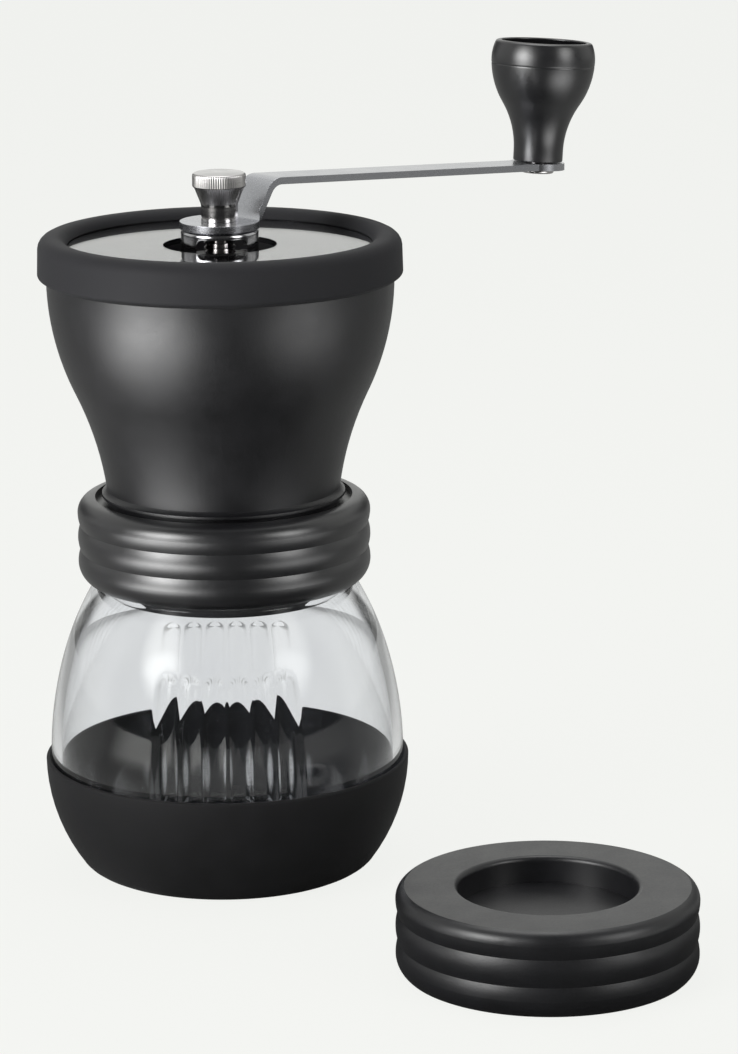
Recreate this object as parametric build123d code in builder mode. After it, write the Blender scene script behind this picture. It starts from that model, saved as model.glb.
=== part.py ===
from build123d import *
import os
from math import asin, atan2, cos, degrees, pi, radians, sin, sqrt, tan

# Hand crank coffee grinder, in millimetres. The origin is on the grinder's axis, on the
# surface it stands on. +Z is up, -Y is the front, and the crank points to the back right.

# Silicone boot on the foot of the jar
boot_radius = 46.5
boot_height = 29.0
boot_foot_radius = 35.9
boot_wall = 1.3
boot_floor = 2.0
boot_edge = 3.0
boot_lip = 0.6
boot_fit = 0.05

# Glass jar
jar_height = 90.5
jar_wall = 2.6
jar_rim_round = 0.9
shoulder_radius = 40.9
shoulder_height = 57.3
neck_radius = 31.6

# Finger flutes pressed into the front and the back of the glass
flute_count = 6
flute_step = 8.35
flute_radius = 5.0
flute_depth = 1.0
flute_bottom = 20.0
flute_top = 60.0
flute_sides = (90, 270)

# Screw thread of the jar, shared by the collar and the storage lid
thread_lead = 5.0
thread_turns = 1.25
thread_depth = 1.3
thread_root_width = 2.2
thread_crest_width = 1.1
thread_gap = 0.5
thread_embed = 0.4
neck_land = 1.4

# Ribbed collar that screws onto the jar
rib_depth = 0.6
rib_pitch = 6.3
rib_count = 3
collar_radius = 37.1
collar_top_rise = 4.0
collar_bottom_drop = 4.85
collar_top_radius = 33.1
collar_bottom_radius = 34.4
collar_mouth_gap = 0.8
web_thickness = 3.0
cup_depth = 1.6
cup_gap = 1.8
gasket_thickness = 1.8
gasket_gap = 0.3

# Bean hopper
hopper_height = 60.9
hopper_wall = 2.4
hopper_rim_radius = 43.6
hopper_rim_height = 5.2
hopper_flare_radius = 37.0
hopper_flare_height = 26.7
hopper_waist_radius = 29.3
hopper_foot_radius = 30.8
hopper_foot_height = 2.6
hopper_foot_edge = 0.7
funnel_rise = 20.0
throat_radius = 17.3
hub_radius = 8.5
hub_length = 22.0
hub_drop = 9.2
rib_arm_count = 3
rib_arm_width = 3.2
rib_arm_height = 14.0
rib_arm_turn = 30

# Burr housing, burrs and the plate that steadies the shaft below them
housing_bore = 22.7
housing_wall = 2.9
housing_depth = 20.3
housing_flange = 2.0
housing_fit = 0.2
ring_burr_wall_top = 5.2
ring_burr_wall_mid = 6.7
ring_burr_wall_bottom = 3.3
ring_burr_mid_rise = 13.0
ring_tooth_count = 18
ring_tooth_width = 1.5
ring_tooth_depth = 1.1
burr_gap = 0.5
cone_height = 21.0
cone_top_radius = 7.6
cone_mid_radius = 12.4
cone_mid_rise = 12.0
cone_lift = 1.2
cone_flute_count = 6
cone_flute_width = 3.4
cone_flute_depth = 2.6
cone_tooth_count = 24
cone_tooth_width = 1.1
cone_tooth_depth = 0.9
plate_thickness = 3.8
plate_rim = 0.6
plate_land = 2.1
plate_arm_count = 3
plate_arm_width = 5.0
plate_hub_radius = 6.8
plate_hub_drop = 1.2

# Bushes, washers, spring and nuts along the shaft
shaft_radius = 4.0
seat_radius = 3.5
journal_radius = 3.0
running_fit = 0.05
bush_wall = 2.0
bush_flange = 1.5
bush_flange_width = 2.2
lower_bush_wall = 1.5
washer_thickness = 1.0
washer_width = 2.8
spring_wire = 1.2
spring_mean_radius = 6.2
spring_turns = 6
spring_seat_width = 4.4
burr_nut_flats = 10.0
burr_nut_height = 4.6
burr_nut_gap = 0.6
shaft_tail = 1.5
nut_boss_radius = 6.6
nut_boss_height = 3.5
nut_flange_radius = 9.8
nut_flange_height = 3.2
nut_notch_count = 12
nut_notch_width = 3.0
nut_notch_depth = 2.0

# Screw thread of the shaft
shaft_thread_pitch = 1.25
shaft_thread_depth = 0.65
shaft_flats = 6.4
flat_fit = 0.1

# Locking stopper between the adjusting nut and the crank
stopper_radius = 9.75
stopper_wall = 1.6
stopper_plate = 1.7
stopper_skirt = 3.65
stopper_lift = 1.5
stopper_turn = 3.5
stopper_window = 12.6
stopper_window_round = 1.5
stopper_tab_width = 2.4
stopper_tab_depth = 1.8
stopper_round = 1.2

# Crank arm, bent from strip
crank_angle = 41.2
crank_length = 113.2
arm_thickness = 1.8
arm_width = 10.6
arm_eye_radius = 10.0
arm_end_radius = 7.2
arm_foot_reach = 7.8
arm_bend_reach = 13.7
arm_bend_rise = 9.85
arm_end_drop = 7.4
arm_bend_round = 4.4
arm_trim = 12.0

# Thumb nut that holds the crank down
thumb_base_radius = 4.6
thumb_base_height = 4.2
thumb_cone_height = 4.1
thumb_cone_radius = 6.2
thumb_head_radius = 6.7
thumb_head_height = 3.8
thumb_edge = 0.5
thumb_round = 0.7
thumb_cap = 2.4
knurl_count = 70
knurl_depth = 0.22

# Turning knob on the end of the crank
knob_height = 32.2
knob_base_radius = 6.6
knob_neck_height = 3.0
knob_flare_radius = 10.3
knob_flare_height = 15.6
knob_belly_radius = 13.8
knob_belly_height = 27.4
knob_rim_radius = 12.7
knob_wall = 1.6
knob_plug_height = 9.0
knob_lift = 0.3
pin_radius = 3.0
pin_head_radius = 5.0
pin_head_height = 1.5
pin_tail_radius = 4.4
pin_tail_height = 1.1

# Hopper lid: a soft ring that holds a clear plate
lid_gap = 0.3
lid_skirt = 1.9
lid_skirt_depth = 5.5
lid_skirt_edge = 0.5
lid_skirt_slope = 1.0
lid_taper = 0.3
lid_seat_gap = 0.05
lid_lip = 1.2
lid_bead = 2.6
lid_bead_round = 3.0
lid_view_radius = 38.1
lid_groove = 2.6
lid_plate_thickness = 1.5
lid_plate_fit = 0.1
lid_hole_radius = 14.25

# Storage lid, which closes the jar once the head is off
cap_center_x = 75.6
cap_center_y = -88.2
cap_radius = 36.3
cap_rib_pitch = 6.75
cap_bottom_drop = 4.1
cap_top_rise = 3.1
cap_bottom_radius = 34.4
cap_top_radius = 34.2
cap_roof = 2.6
cap_recess_radius = 21.5
cap_recess_depth = 6.6
cap_recess_wall = 2.2
cap_recess_round = 1.2
cap_seal_thickness = 1.6

# Screws
web_screw_radius = 1.1
web_screw_head = 1.9
web_screw_grip = 7.0
plate_screw_radius = 0.9
plate_screw_head = 1.5
plate_screw_grip = 7.0
screw_count = 3
screw_turn = 90
screw_fit = 0.1
screw_edge = 0.1

# Curve of the boot's side, which the glass follows inside it
boot_spread = boot_radius - boot_foot_radius
boot_arc = (boot_spread**2 + boot_height**2) / (2 * boot_spread)
boot_arc_x = boot_radius - boot_arc
jar_radius = boot_radius - boot_wall - boot_fit
jar_arc = jar_radius - boot_arc_x
jar_foot_radius = boot_arc_x + sqrt(jar_arc**2 - (boot_height - boot_floor) ** 2)
jar_edge = boot_edge - boot_wall

# Heights from the jar's rim up to the crank
web_bottom = jar_height + gasket_thickness
web_top = web_bottom + web_thickness
collar_top = web_top + cup_depth
top_crest = collar_top - collar_top_rise
collar_crests = [top_crest - rib_pitch * rib for rib in range(rib_count)]
collar_bottom = collar_crests[-1] - collar_bottom_drop
hopper_base = web_top + housing_flange
hopper_top = hopper_base + hopper_height
hub_top = hopper_top - hub_drop
hub_bottom = hub_top - hub_length
washer_bottom = hub_top + bush_flange
nut_bottom = washer_bottom + washer_thickness
nut_flange_bottom = nut_bottom + nut_boss_height
nut_top = nut_flange_bottom + nut_flange_height
stopper_bottom = nut_top + stopper_lift
stopper_under = stopper_bottom + stopper_skirt
stopper_foot = nut_top - stopper_tab_depth
arm_bottom = stopper_under + stopper_plate
arm_top = arm_bottom + arm_thickness
thumb_top = arm_top + thumb_base_height + thumb_cone_height + thumb_head_height

# Heights from the burrs down to the end of the shaft
housing_bottom = web_top - housing_depth
plate_bottom = housing_bottom - plate_thickness
plate_hub_bottom = plate_bottom - plate_hub_drop
cone_bottom = housing_bottom + cone_lift
cone_top = cone_bottom + cone_height
spring_bottom = cone_top + washer_thickness
shaft_bottom = plate_hub_bottom - shaft_tail

# Radii that one piece takes from another
thread_crest_radius = neck_radius + thread_depth
collar_bore = thread_crest_radius + thread_gap
collar_mouth = collar_bore - collar_mouth_gap
collar_groove = collar_radius - rib_depth
cup_radius = hopper_foot_radius + cup_gap
housing_radius = housing_bore + housing_wall
web_hole = housing_radius + housing_fit
ring_burr_radius = housing_bore - housing_fit
ring_burr_mouth = ring_burr_radius - ring_burr_wall_bottom
cone_radius = ring_burr_mouth - burr_gap
plate_opening = ring_burr_radius - plate_land
web_screw_circle = web_hole + web_screw_head + screw_edge
plate_screw_circle = housing_bore + housing_wall / 2
bush_radius = shaft_radius + running_fit + bush_wall
lower_bush_radius = journal_radius + running_fit + lower_bush_wall

# Lean of the jar's side and shoulder, and the height where its neck turns upright
side_lean = 2 * atan2(jar_radius - shoulder_radius, shoulder_height - boot_height)
shoulder_chord = atan2(shoulder_radius - collar_mouth, collar_bottom - shoulder_height)
shoulder_lean = 2 * shoulder_chord - side_lean
neck_bottom = collar_bottom + (collar_mouth - neck_radius) / tan(shoulder_lean / 2)

# The thread fills the neck between two plain lands
thread_rise = thread_lead * thread_turns
jar_thread_start = jar_height - neck_land - thread_rise
collar_thread_start = jar_thread_start - thread_lead / 2
cap_thread_start = cap_bottom_drop

# Directions of the crank: along it, square to it, and the lean of its long stretch
crank_along = Vector(cos(radians(crank_angle)), sin(radians(crank_angle)), 0)
crank_side = Vector(sin(radians(crank_angle)), -cos(radians(crank_angle)), 0)
arm_lean = atan2(arm_end_drop, crank_length - arm_bend_reach)
arm_middle = arm_bottom + arm_thickness / 2
arm_end_middle = arm_middle + arm_bend_rise - arm_end_drop
arm_side_plane = Plane((0, 0, 0), x_dir=crank_along, z_dir=crank_side)
arm_plan_plane = Plane((0, 0, 0), x_dir=crank_along, z_dir=(0, 0, 1))

# The knob stands square on the end of the arm
knob_up = crank_along * sin(arm_lean) + Vector(0, 0, cos(arm_lean))
arm_end_point = crank_along * crank_length + Vector(0, 0, arm_end_middle)
knob_foot = arm_end_point + knob_up * (arm_thickness / 2)
knob_plane = Plane(knob_foot, x_dir=crank_side, z_dir=knob_up)
knob_side_plane = Plane(knob_foot, x_dir=crank_side, z_dir=crank_side.cross(knob_up))
knob_axis = Axis(knob_foot, knob_up)


def ribbed_side(crest_radius, groove_radius, pitch, crests, top, bottom):
    """Draw the rounded ribs of a grip, from its top edge down to its bottom edge."""
    TangentArc((crest_radius, crests[0]), top, tangent=(0, 1))
    for crest in crests[:-1]:
        groove = (groove_radius, crest - pitch / 2)
        TangentArc((crest_radius, crest), groove, tangent=(0, -1))
        TangentArc((crest_radius, crest - pitch), groove, tangent=(0, 1))
    TangentArc((crest_radius, crests[-1]), bottom, tangent=(0, -1))


def thread_ridge(root_radius, rise, start_height):
    """Make one helical ridge that rises from its root radius, outwards or inwards."""
    inward = -1 if rise < 0 else 1
    with BuildPart() as ridge:
        with BuildLine() as path:
            Helix(thread_lead, thread_rise, root_radius, center=(0, 0, start_height))
        start = path.line @ 0
        with BuildSketch(Plane(start, x_dir=(1, 0, 0), z_dir=path.line % 0)):
            with BuildLine():
                Polyline(
                    (-inward * thread_embed, -thread_root_width / 2),
                    (rise, -thread_crest_width / 2),
                    (rise, thread_crest_width / 2),
                    (-inward * thread_embed, thread_root_width / 2),
                    close=True,
                )
            make_face()
        sweep(path=path.line, is_frenet=True)
    return ridge.part


def ring(inner_radius, outer_radius, bottom, height):
    """Make a plain ring on the grinder's axis."""
    with BuildPart() as band:
        with BuildSketch(Plane.XY.offset(bottom)):
            Circle(outer_radius)
            Circle(inner_radius, mode=Mode.SUBTRACT)
        extrude(amount=height)
    return band


# Outside of the glass, from its foot to the rim of its neck
with BuildSketch(Plane.XZ) as jar_outline:
    with BuildLine():
        Line((0, boot_floor), (jar_foot_radius, boot_floor))
        TangentArc((jar_radius, boot_height), (jar_foot_radius, boot_floor), tangent=(0, -1))
        side = TangentArc(
            (jar_radius, boot_height), (shoulder_radius, shoulder_height), tangent=(0, 1)
        )
        shoulder = TangentArc(side @ 1, (collar_mouth, collar_bottom), tangent=side % 1)
        neck = TangentArc(shoulder @ 1, (neck_radius, neck_bottom), tangent=shoulder % 1)
        Polyline(neck @ 1, (neck_radius, jar_height), (0, jar_height), (0, boot_floor))
    make_face()

# One finger flute follows the curve of the glass and ends in a round top
side_arc = side.radius
flute_arc = side_arc + flute_radius - flute_depth
flute_arc_x = jar_radius - side_arc
flute_start = asin((flute_bottom - boot_height) / flute_arc)
flute_end = asin((flute_top - flute_radius - boot_height) / flute_arc)


def on_flute(angle):
    """Return the centre of the flute's tool at an angle along the glass."""
    return (flute_arc_x + flute_arc * cos(angle), 0, boot_height + flute_arc * sin(angle))


with BuildPart() as flute:
    with BuildSketch(Plane(on_flute(flute_start), z_dir=(-sin(flute_start), 0, cos(flute_start)))):
        Circle(flute_radius)
    revolve(
        axis=Axis((flute_arc_x, 0, boot_height), (0, -1, 0)),
        revolution_arc=degrees(flute_end - flute_start),
    )
    with Locations(on_flute(flute_end)):
        Sphere(flute_radius)

with BuildPart() as glass_jar:
    revolve(jar_outline.sketch, axis=Axis.Z)
    fillet(glass_jar.edges().group_by(Axis.Z)[0], jar_edge)
    offset(amount=-jar_wall, openings=glass_jar.faces().sort_by(Axis.Z)[-1])
    fillet(glass_jar.edges().group_by(Axis.Z)[-1], jar_rim_round)
    add(thread_ridge(neck_radius, thread_depth, jar_thread_start))
    for flute_side in flute_sides:
        flute_spread = flute_step * (flute_count - 1)
        first_flute = flute_side - flute_spread / 2
        with PolarLocations(0, flute_count, first_flute, flute_spread, endpoint=True):
            add(flute.part, mode=Mode.SUBTRACT)

with BuildPart() as silicone_base:
    with BuildSketch(Plane.XZ):
        with BuildLine():
            Line((0, 0), (boot_foot_radius, 0))
            TangentArc((boot_radius, boot_height), (boot_foot_radius, 0), tangent=(0, -1))
            Polyline((boot_radius, boot_height), (0, boot_height), (0, 0))
        make_face()
    revolve(axis=Axis.Z)
    fillet(silicone_base.edges().group_by(Axis.Z)[0], boot_edge)
    with BuildSketch(Plane.XZ):
        with BuildLine():
            Line((0, boot_floor), (jar_foot_radius, boot_floor))
            TangentArc(
                (jar_radius + boot_fit, boot_height), (jar_foot_radius, boot_floor), tangent=(0, -1)
            )
            Polyline((jar_radius + boot_fit, boot_height), (0, boot_height), (0, boot_floor))
        make_face()
    revolve(axis=Axis.Z, mode=Mode.SUBTRACT)
    fillet(silicone_base.edges().group_by(Axis.Z)[-1], boot_lip)

jar_gasket = ring(
    neck_radius - jar_wall + gasket_gap,
    collar_bore - gasket_gap,
    jar_height,
    gasket_thickness,
)

# Collar: ribbed grip outside, thread inside, and a web that carries the head
with BuildPart() as collar:
    with BuildSketch(Plane.XZ):
        with BuildLine():
            ribbed_side(
                collar_radius,
                collar_groove,
                rib_pitch,
                collar_crests,
                (collar_top_radius, collar_top),
                (collar_bottom_radius, collar_bottom),
            )
            Polyline(
                (collar_top_radius, collar_top),
                (cup_radius, collar_top),
                (cup_radius, web_top),
                (web_hole, web_top),
                (web_hole, web_bottom),
                (collar_bore, web_bottom),
                (collar_bore, collar_bottom),
                (collar_bottom_radius, collar_bottom),
            )
        make_face()
    revolve(axis=Axis.Z)
    add(thread_ridge(collar_bore, -thread_depth, collar_thread_start))
    with Locations(Plane((0, 0, web_bottom), z_dir=(0, 0, -1))):
        with PolarLocations(web_screw_circle, screw_count, screw_turn):
            CounterSinkHole(web_screw_radius + screw_fit, web_screw_head + screw_fit, depth=web_thickness)

# Burr housing hangs through the collar's web by its flange
with BuildPart() as burr_housing:
    with BuildSketch(Plane.XZ):
        with BuildLine():
            Polyline(
                (housing_bore, housing_bottom),
                (housing_radius, housing_bottom),
                (housing_radius, web_top),
                (hopper_waist_radius, web_top),
                (hopper_waist_radius, hopper_base),
                (housing_bore, hopper_base),
                close=True,
            )
        make_face()
    revolve(axis=Axis.Z)
    with Locations((0, 0, hopper_base)):
        with PolarLocations(web_screw_circle, screw_count, screw_turn):
            Hole(web_screw_radius + screw_fit, depth=housing_flange)
    with Locations(Plane((0, 0, housing_bottom), z_dir=(0, 0, -1))):
        with PolarLocations(plate_screw_circle, screw_count, screw_turn):
            Hole(plate_screw_radius + running_fit, depth=plate_screw_grip + screw_fit)

# Outside of the hopper, from its narrow waist to its straight rim
with BuildSketch(Plane.XZ) as hopper_outline:
    with BuildLine():
        flare_top = hopper_top - hopper_rim_height
        bowl = TangentArc(
            (hopper_rim_radius, flare_top),
            (hopper_flare_radius, hopper_base + hopper_flare_height),
            tangent=(0, -1),
        )
        waist = TangentArc(bowl @ 1, (hopper_waist_radius, hopper_base), tangent=bowl % 1)
        Polyline(
            bowl @ 0, (hopper_rim_radius, hopper_top), (0, hopper_top), (0, hopper_base), waist @ 1
        )
    make_face()

# Inside of the hopper: a funnel, and a hub on three arms, trimmed to the hopper's outside
with BuildPart() as hopper_inside:
    with BuildSketch(Plane.XZ):
        with BuildLine():
            Polyline(
                (0, hopper_base),
                (throat_radius, hopper_base + hopper_wall),
                (hopper_rim_radius, hopper_base + hopper_wall + funnel_rise),
                (hopper_rim_radius, hopper_base),
                close=True,
            )
        make_face()
    revolve(axis=Axis.Z)
    with BuildSketch(Plane.XY.offset(hub_bottom)):
        Circle(hub_radius)
    extrude(amount=hub_length)
    with BuildSketch(Plane.XY.offset(hub_bottom)):
        with PolarLocations(hopper_rim_radius / 2, rib_arm_count, rib_arm_turn):
            Rectangle(hopper_rim_radius, rib_arm_width)
    extrude(amount=rib_arm_height)
    revolve(hopper_outline.sketch, axis=Axis.Z, mode=Mode.INTERSECT)

with BuildPart() as hopper:
    revolve(hopper_outline.sketch, axis=Axis.Z)
    offset(amount=-hopper_wall, openings=hopper.faces().sort_by(Axis.Z)[-1])
    add(hopper_inside.part)
    with BuildSketch(Plane.XZ):
        with BuildLine():
            foot_inside = hopper_waist_radius - hopper_wall / 2
            foot_top = hopper_base + hopper_foot_height
            foot_edge = (hopper_foot_radius, hopper_base + hopper_foot_edge)
            TangentArc((hopper_waist_radius, foot_top), foot_edge, tangent=(0, -1))
            Polyline(
                foot_edge,
                (hopper_foot_radius, hopper_base),
                (foot_inside, hopper_base),
                (foot_inside, foot_top),
                (hopper_waist_radius, foot_top),
            )
        make_face()
    revolve(axis=Axis.Z)
    with Locations((0, 0, hopper_base)):
        Hole(throat_radius, depth=hopper_wall * 2)
    with Locations((0, 0, hub_top)):
        Hole(bush_radius, depth=hub_length)
    with Locations(Plane((0, 0, hopper_base), z_dir=(0, 0, -1))):
        with PolarLocations(web_screw_circle, screw_count, screw_turn):
            Hole(web_screw_radius + running_fit, depth=web_screw_grip + screw_fit)

# Three countersunk screws hold collar, burr housing and hopper together
with BuildPart() as collar_screws:
    with Locations((0, 0, web_bottom)):
        with PolarLocations(web_screw_circle, screw_count, screw_turn):
            Cone(
                web_screw_head,
                web_screw_radius,
                web_screw_head - web_screw_radius,
                align=(Align.CENTER, Align.CENTER, Align.MIN),
            )
            Cylinder(
                web_screw_radius,
                web_thickness + housing_flange + web_screw_grip,
                align=(Align.CENTER, Align.CENTER, Align.MIN),
            )

# Ceramic ring burr, toothed inside
ring_burr_inner = [
    (ring_burr_radius - ring_burr_wall_top, hopper_base),
    (ring_burr_radius - ring_burr_wall_mid, housing_bottom + ring_burr_mid_rise),
    (ring_burr_mouth, housing_bottom),
]
with BuildPart() as ring_tooth:
    with BuildSketch(Plane.XZ):
        with BuildLine():
            Polyline(
                *[(radius - ring_tooth_depth, height) for radius, height in ring_burr_inner],
                *[(radius + ring_tooth_depth, height) for radius, height in reversed(ring_burr_inner)],
                close=True,
            )
        make_face()
    extrude(amount=ring_tooth_width / 2, both=True)

with BuildPart() as ring_burr:
    with BuildSketch(Plane.XZ):
        with BuildLine():
            Polyline(
                *ring_burr_inner,
                (ring_burr_radius, housing_bottom),
                (ring_burr_radius, hopper_base),
                close=True,
            )
        make_face()
    revolve(axis=Axis.Z)
    with PolarLocations(0, ring_tooth_count):
        add(ring_tooth.part, mode=Mode.SUBTRACT)

# Plate under the burrs: a ring that holds the ring burr up, and a hub on three arms
with BuildPart() as bearing_plate:
    with BuildSketch(Plane.XY.offset(plate_bottom)):
        Circle(housing_radius + plate_rim)
        Circle(plate_opening, mode=Mode.SUBTRACT)
        with PolarLocations((plate_opening + plate_land / 2) / 2, plate_arm_count):
            Rectangle(plate_opening + plate_land / 2, plate_arm_width)
    extrude(amount=plate_thickness)
    with BuildSketch(Plane.XY.offset(plate_hub_bottom)):
        Circle(plate_hub_radius)
    extrude(amount=plate_thickness + plate_hub_drop)
    with Locations((0, 0, housing_bottom)):
        Hole(lower_bush_radius, depth=plate_thickness + plate_hub_drop)
    with Locations(Plane((0, 0, plate_bottom), z_dir=(0, 0, -1))):
        with PolarLocations(plate_screw_circle, screw_count, screw_turn):
            CounterSinkHole(
                plate_screw_radius + screw_fit,
                plate_screw_head + screw_fit,
                depth=plate_thickness,
            )

# Three countersunk screws hold that plate up under the housing
with BuildPart() as plate_screws:
    with Locations((0, 0, plate_bottom)):
        with PolarLocations(plate_screw_circle, screw_count, screw_turn):
            Cone(
                plate_screw_head,
                plate_screw_radius,
                plate_screw_head - plate_screw_radius,
                align=(Align.CENTER, Align.CENTER, Align.MIN),
            )
            Cylinder(
                plate_screw_radius,
                plate_thickness + plate_screw_grip,
                align=(Align.CENTER, Align.CENTER, Align.MIN),
            )

lower_bush = ring(
    journal_radius + running_fit,
    lower_bush_radius,
    plate_hub_bottom,
    plate_thickness + plate_hub_drop,
)

# Upper bush: a flanged sleeve pressed into the hopper's hub
with BuildPart() as upper_bush:
    with BuildSketch(Plane.XY.offset(hub_bottom)):
        Circle(bush_radius)
    extrude(amount=hub_length)
    with BuildSketch(Plane.XY.offset(hub_top)):
        Circle(bush_radius + bush_flange_width)
    extrude(amount=bush_flange)
    with Locations((0, 0, washer_bottom)):
        Hole(shaft_radius + running_fit, depth=hub_length + bush_flange)

thrust_washer = ring(
    shaft_radius + running_fit,
    shaft_radius + running_fit + washer_width,
    washer_bottom,
    washer_thickness,
)

# Ceramic cone burr: deep flutes that draw the beans in, and fine teeth below them
cone_side = [
    (cone_top_radius, cone_top),
    (cone_mid_radius, cone_bottom + cone_mid_rise),
    (cone_radius, cone_bottom),
]


def cone_cut(points, width, depth):
    """Make one groove of the cone burr along some of the points of its side."""
    with BuildPart() as groove:
        with BuildSketch(Plane.XZ):
            with BuildLine():
                Polyline(
                    *[(radius - depth, height) for radius, height in points],
                    *[(radius + depth, height) for radius, height in reversed(points)],
                    close=True,
                )
            make_face()
        extrude(amount=width / 2, both=True)
    return groove.part


cone_flute = cone_cut(cone_side[:2], cone_flute_width, cone_flute_depth)
cone_tooth = cone_cut(cone_side[1:], cone_tooth_width, cone_tooth_depth)
with BuildPart() as cone_burr:
    with BuildSketch(Plane.XZ):
        with BuildLine():
            Polyline((0, cone_top), *cone_side, (0, cone_bottom), close=True)
        make_face()
    revolve(axis=Axis.Z)
    with PolarLocations(0, cone_flute_count):
        add(cone_flute, mode=Mode.SUBTRACT)
    with PolarLocations(0, cone_tooth_count):
        add(cone_tooth, mode=Mode.SUBTRACT)
    with Locations((0, 0, cone_top)):
        Hole(seat_radius + running_fit, depth=cone_height)
    with BuildSketch(Plane.XY.offset(cone_bottom)):
        Circle(burr_nut_flats / 2 / cos(pi / 6) + burr_nut_gap)
    extrude(amount=burr_nut_height + burr_nut_gap, mode=Mode.SUBTRACT)

spring_washer = ring(
    seat_radius + running_fit,
    seat_radius + running_fit + spring_seat_width,
    cone_top,
    washer_thickness,
)

with BuildPart() as burr_nut:
    nut_seat = cone_bottom + burr_nut_gap
    with BuildSketch(Plane.XY.offset(nut_seat)):
        RegularPolygon(burr_nut_flats / 2, 6, major_radius=False)
        Circle(journal_radius + running_fit, mode=Mode.SUBTRACT)
    extrude(amount=burr_nut_height)

# Spring that pushes the cone burr down, away from the ring burr
spring_length = hub_bottom - spring_bottom
spring_pitch = (spring_length - spring_wire) / spring_turns
with BuildPart() as burr_spring:
    with BuildLine() as spring_path:
        Helix(
            spring_pitch,
            spring_length - spring_wire,
            spring_mean_radius,
            center=(0, 0, spring_bottom + spring_wire / 2),
        )
    with BuildSketch(Plane(spring_path.line @ 0, x_dir=(1, 0, 0), z_dir=spring_path.line % 0)):
        Circle(spring_wire / 2)
    sweep(path=spring_path.line, is_frenet=True)

# Shaft: journal, burr seat and shank, then a screw thread with two flats at its top
thread_bottom = nut_bottom
thread_top = thumb_top - thumb_cap
shaft_top = thread_top - flat_fit
thread_count = int((shaft_top - thread_bottom) / shaft_thread_pitch)
seat_bottom = nut_seat + burr_nut_height
with BuildPart() as shaft:
    with BuildSketch(Plane.XZ):
        with BuildLine():
            thread_points = []
            for turn in range(thread_count):
                root_height = thread_bottom + shaft_thread_pitch * (turn + 0.5)
                thread_points.append((shaft_radius - shaft_thread_depth, root_height))
                thread_points.append((shaft_radius, root_height + shaft_thread_pitch / 2))
            Polyline(
                (0, shaft_bottom),
                (journal_radius, shaft_bottom),
                (journal_radius, seat_bottom),
                (seat_radius, seat_bottom),
                (seat_radius, spring_bottom),
                (shaft_radius, spring_bottom),
                (shaft_radius, thread_bottom),
                *thread_points,
                (shaft_radius - shaft_thread_depth, shaft_top),
                (0, shaft_top),
                close=True,
            )
        make_face()
    revolve(axis=Axis.Z)
    with BuildSketch(Plane.XY.offset(stopper_under)):
        Circle(shaft_radius * 2)
        Rectangle(shaft_flats, shaft_radius * 4, rotation=crank_angle, mode=Mode.SUBTRACT)
    extrude(amount=shaft_top - stopper_under, mode=Mode.SUBTRACT)


def flatted_hole():
    """Draw the two-flatted hole that fits the top of the shaft."""
    with BuildSketch(mode=Mode.PRIVATE) as hole:
        Circle(shaft_radius + flat_fit)
        Rectangle(
            shaft_flats + 2 * flat_fit, shaft_radius * 4, rotation=crank_angle, mode=Mode.INTERSECT
        )
    return hole.sketch


# Adjusting nut: a notched flange on a boss
with BuildPart() as adjusting_nut:
    with BuildSketch(Plane.XY.offset(nut_bottom)):
        Circle(nut_boss_radius)
    extrude(amount=nut_boss_height)
    with BuildSketch(Plane.XY.offset(nut_flange_bottom)):
        Circle(nut_flange_radius)
        with PolarLocations(nut_flange_radius, nut_notch_count, stopper_turn):
            Rectangle(nut_notch_depth * 2, nut_notch_width, mode=Mode.SUBTRACT)
    extrude(amount=nut_flange_height)
    with Locations((0, 0, nut_top)):
        Hole(shaft_radius + running_fit, depth=nut_boss_height + nut_flange_height)

# Stopper: a pressed cap with two wide legs, whose tabs drop into the nut's notches
stopper_along = (cos(radians(stopper_turn)), sin(radians(stopper_turn)), 0)
stopper_front = (sin(radians(stopper_turn)), -cos(radians(stopper_turn)), 0)
stopper_tall = stopper_under - stopper_foot
with BuildPart() as nut_stopper:
    with BuildSketch(Plane.XY.offset(stopper_foot)):
        Circle(stopper_radius)
    extrude(amount=stopper_tall + stopper_plate)
    fillet(nut_stopper.edges().group_by(Axis.Z)[-1], stopper_round)
    with BuildSketch(Plane.XY.offset(stopper_foot)):
        Circle(stopper_radius - stopper_wall)
    extrude(amount=stopper_tall, mode=Mode.SUBTRACT)
    with BuildSketch(Plane((0, 0, stopper_foot), x_dir=stopper_along, z_dir=stopper_front)):
        RectangleRounded(stopper_window, 2 * stopper_tall, stopper_window_round)
    extrude(amount=2 * stopper_radius, both=True, mode=Mode.SUBTRACT)
    with BuildSketch(Plane.XY.offset(stopper_foot)):
        Circle(2 * stopper_radius)
        Rectangle(4 * stopper_radius, stopper_tab_width, rotation=stopper_turn, mode=Mode.SUBTRACT)
    extrude(amount=stopper_bottom - stopper_foot, mode=Mode.SUBTRACT)
    with BuildSketch(Plane.XY.offset(stopper_under)):
        add(flatted_hole())
    extrude(amount=stopper_plate, mode=Mode.SUBTRACT)

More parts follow.
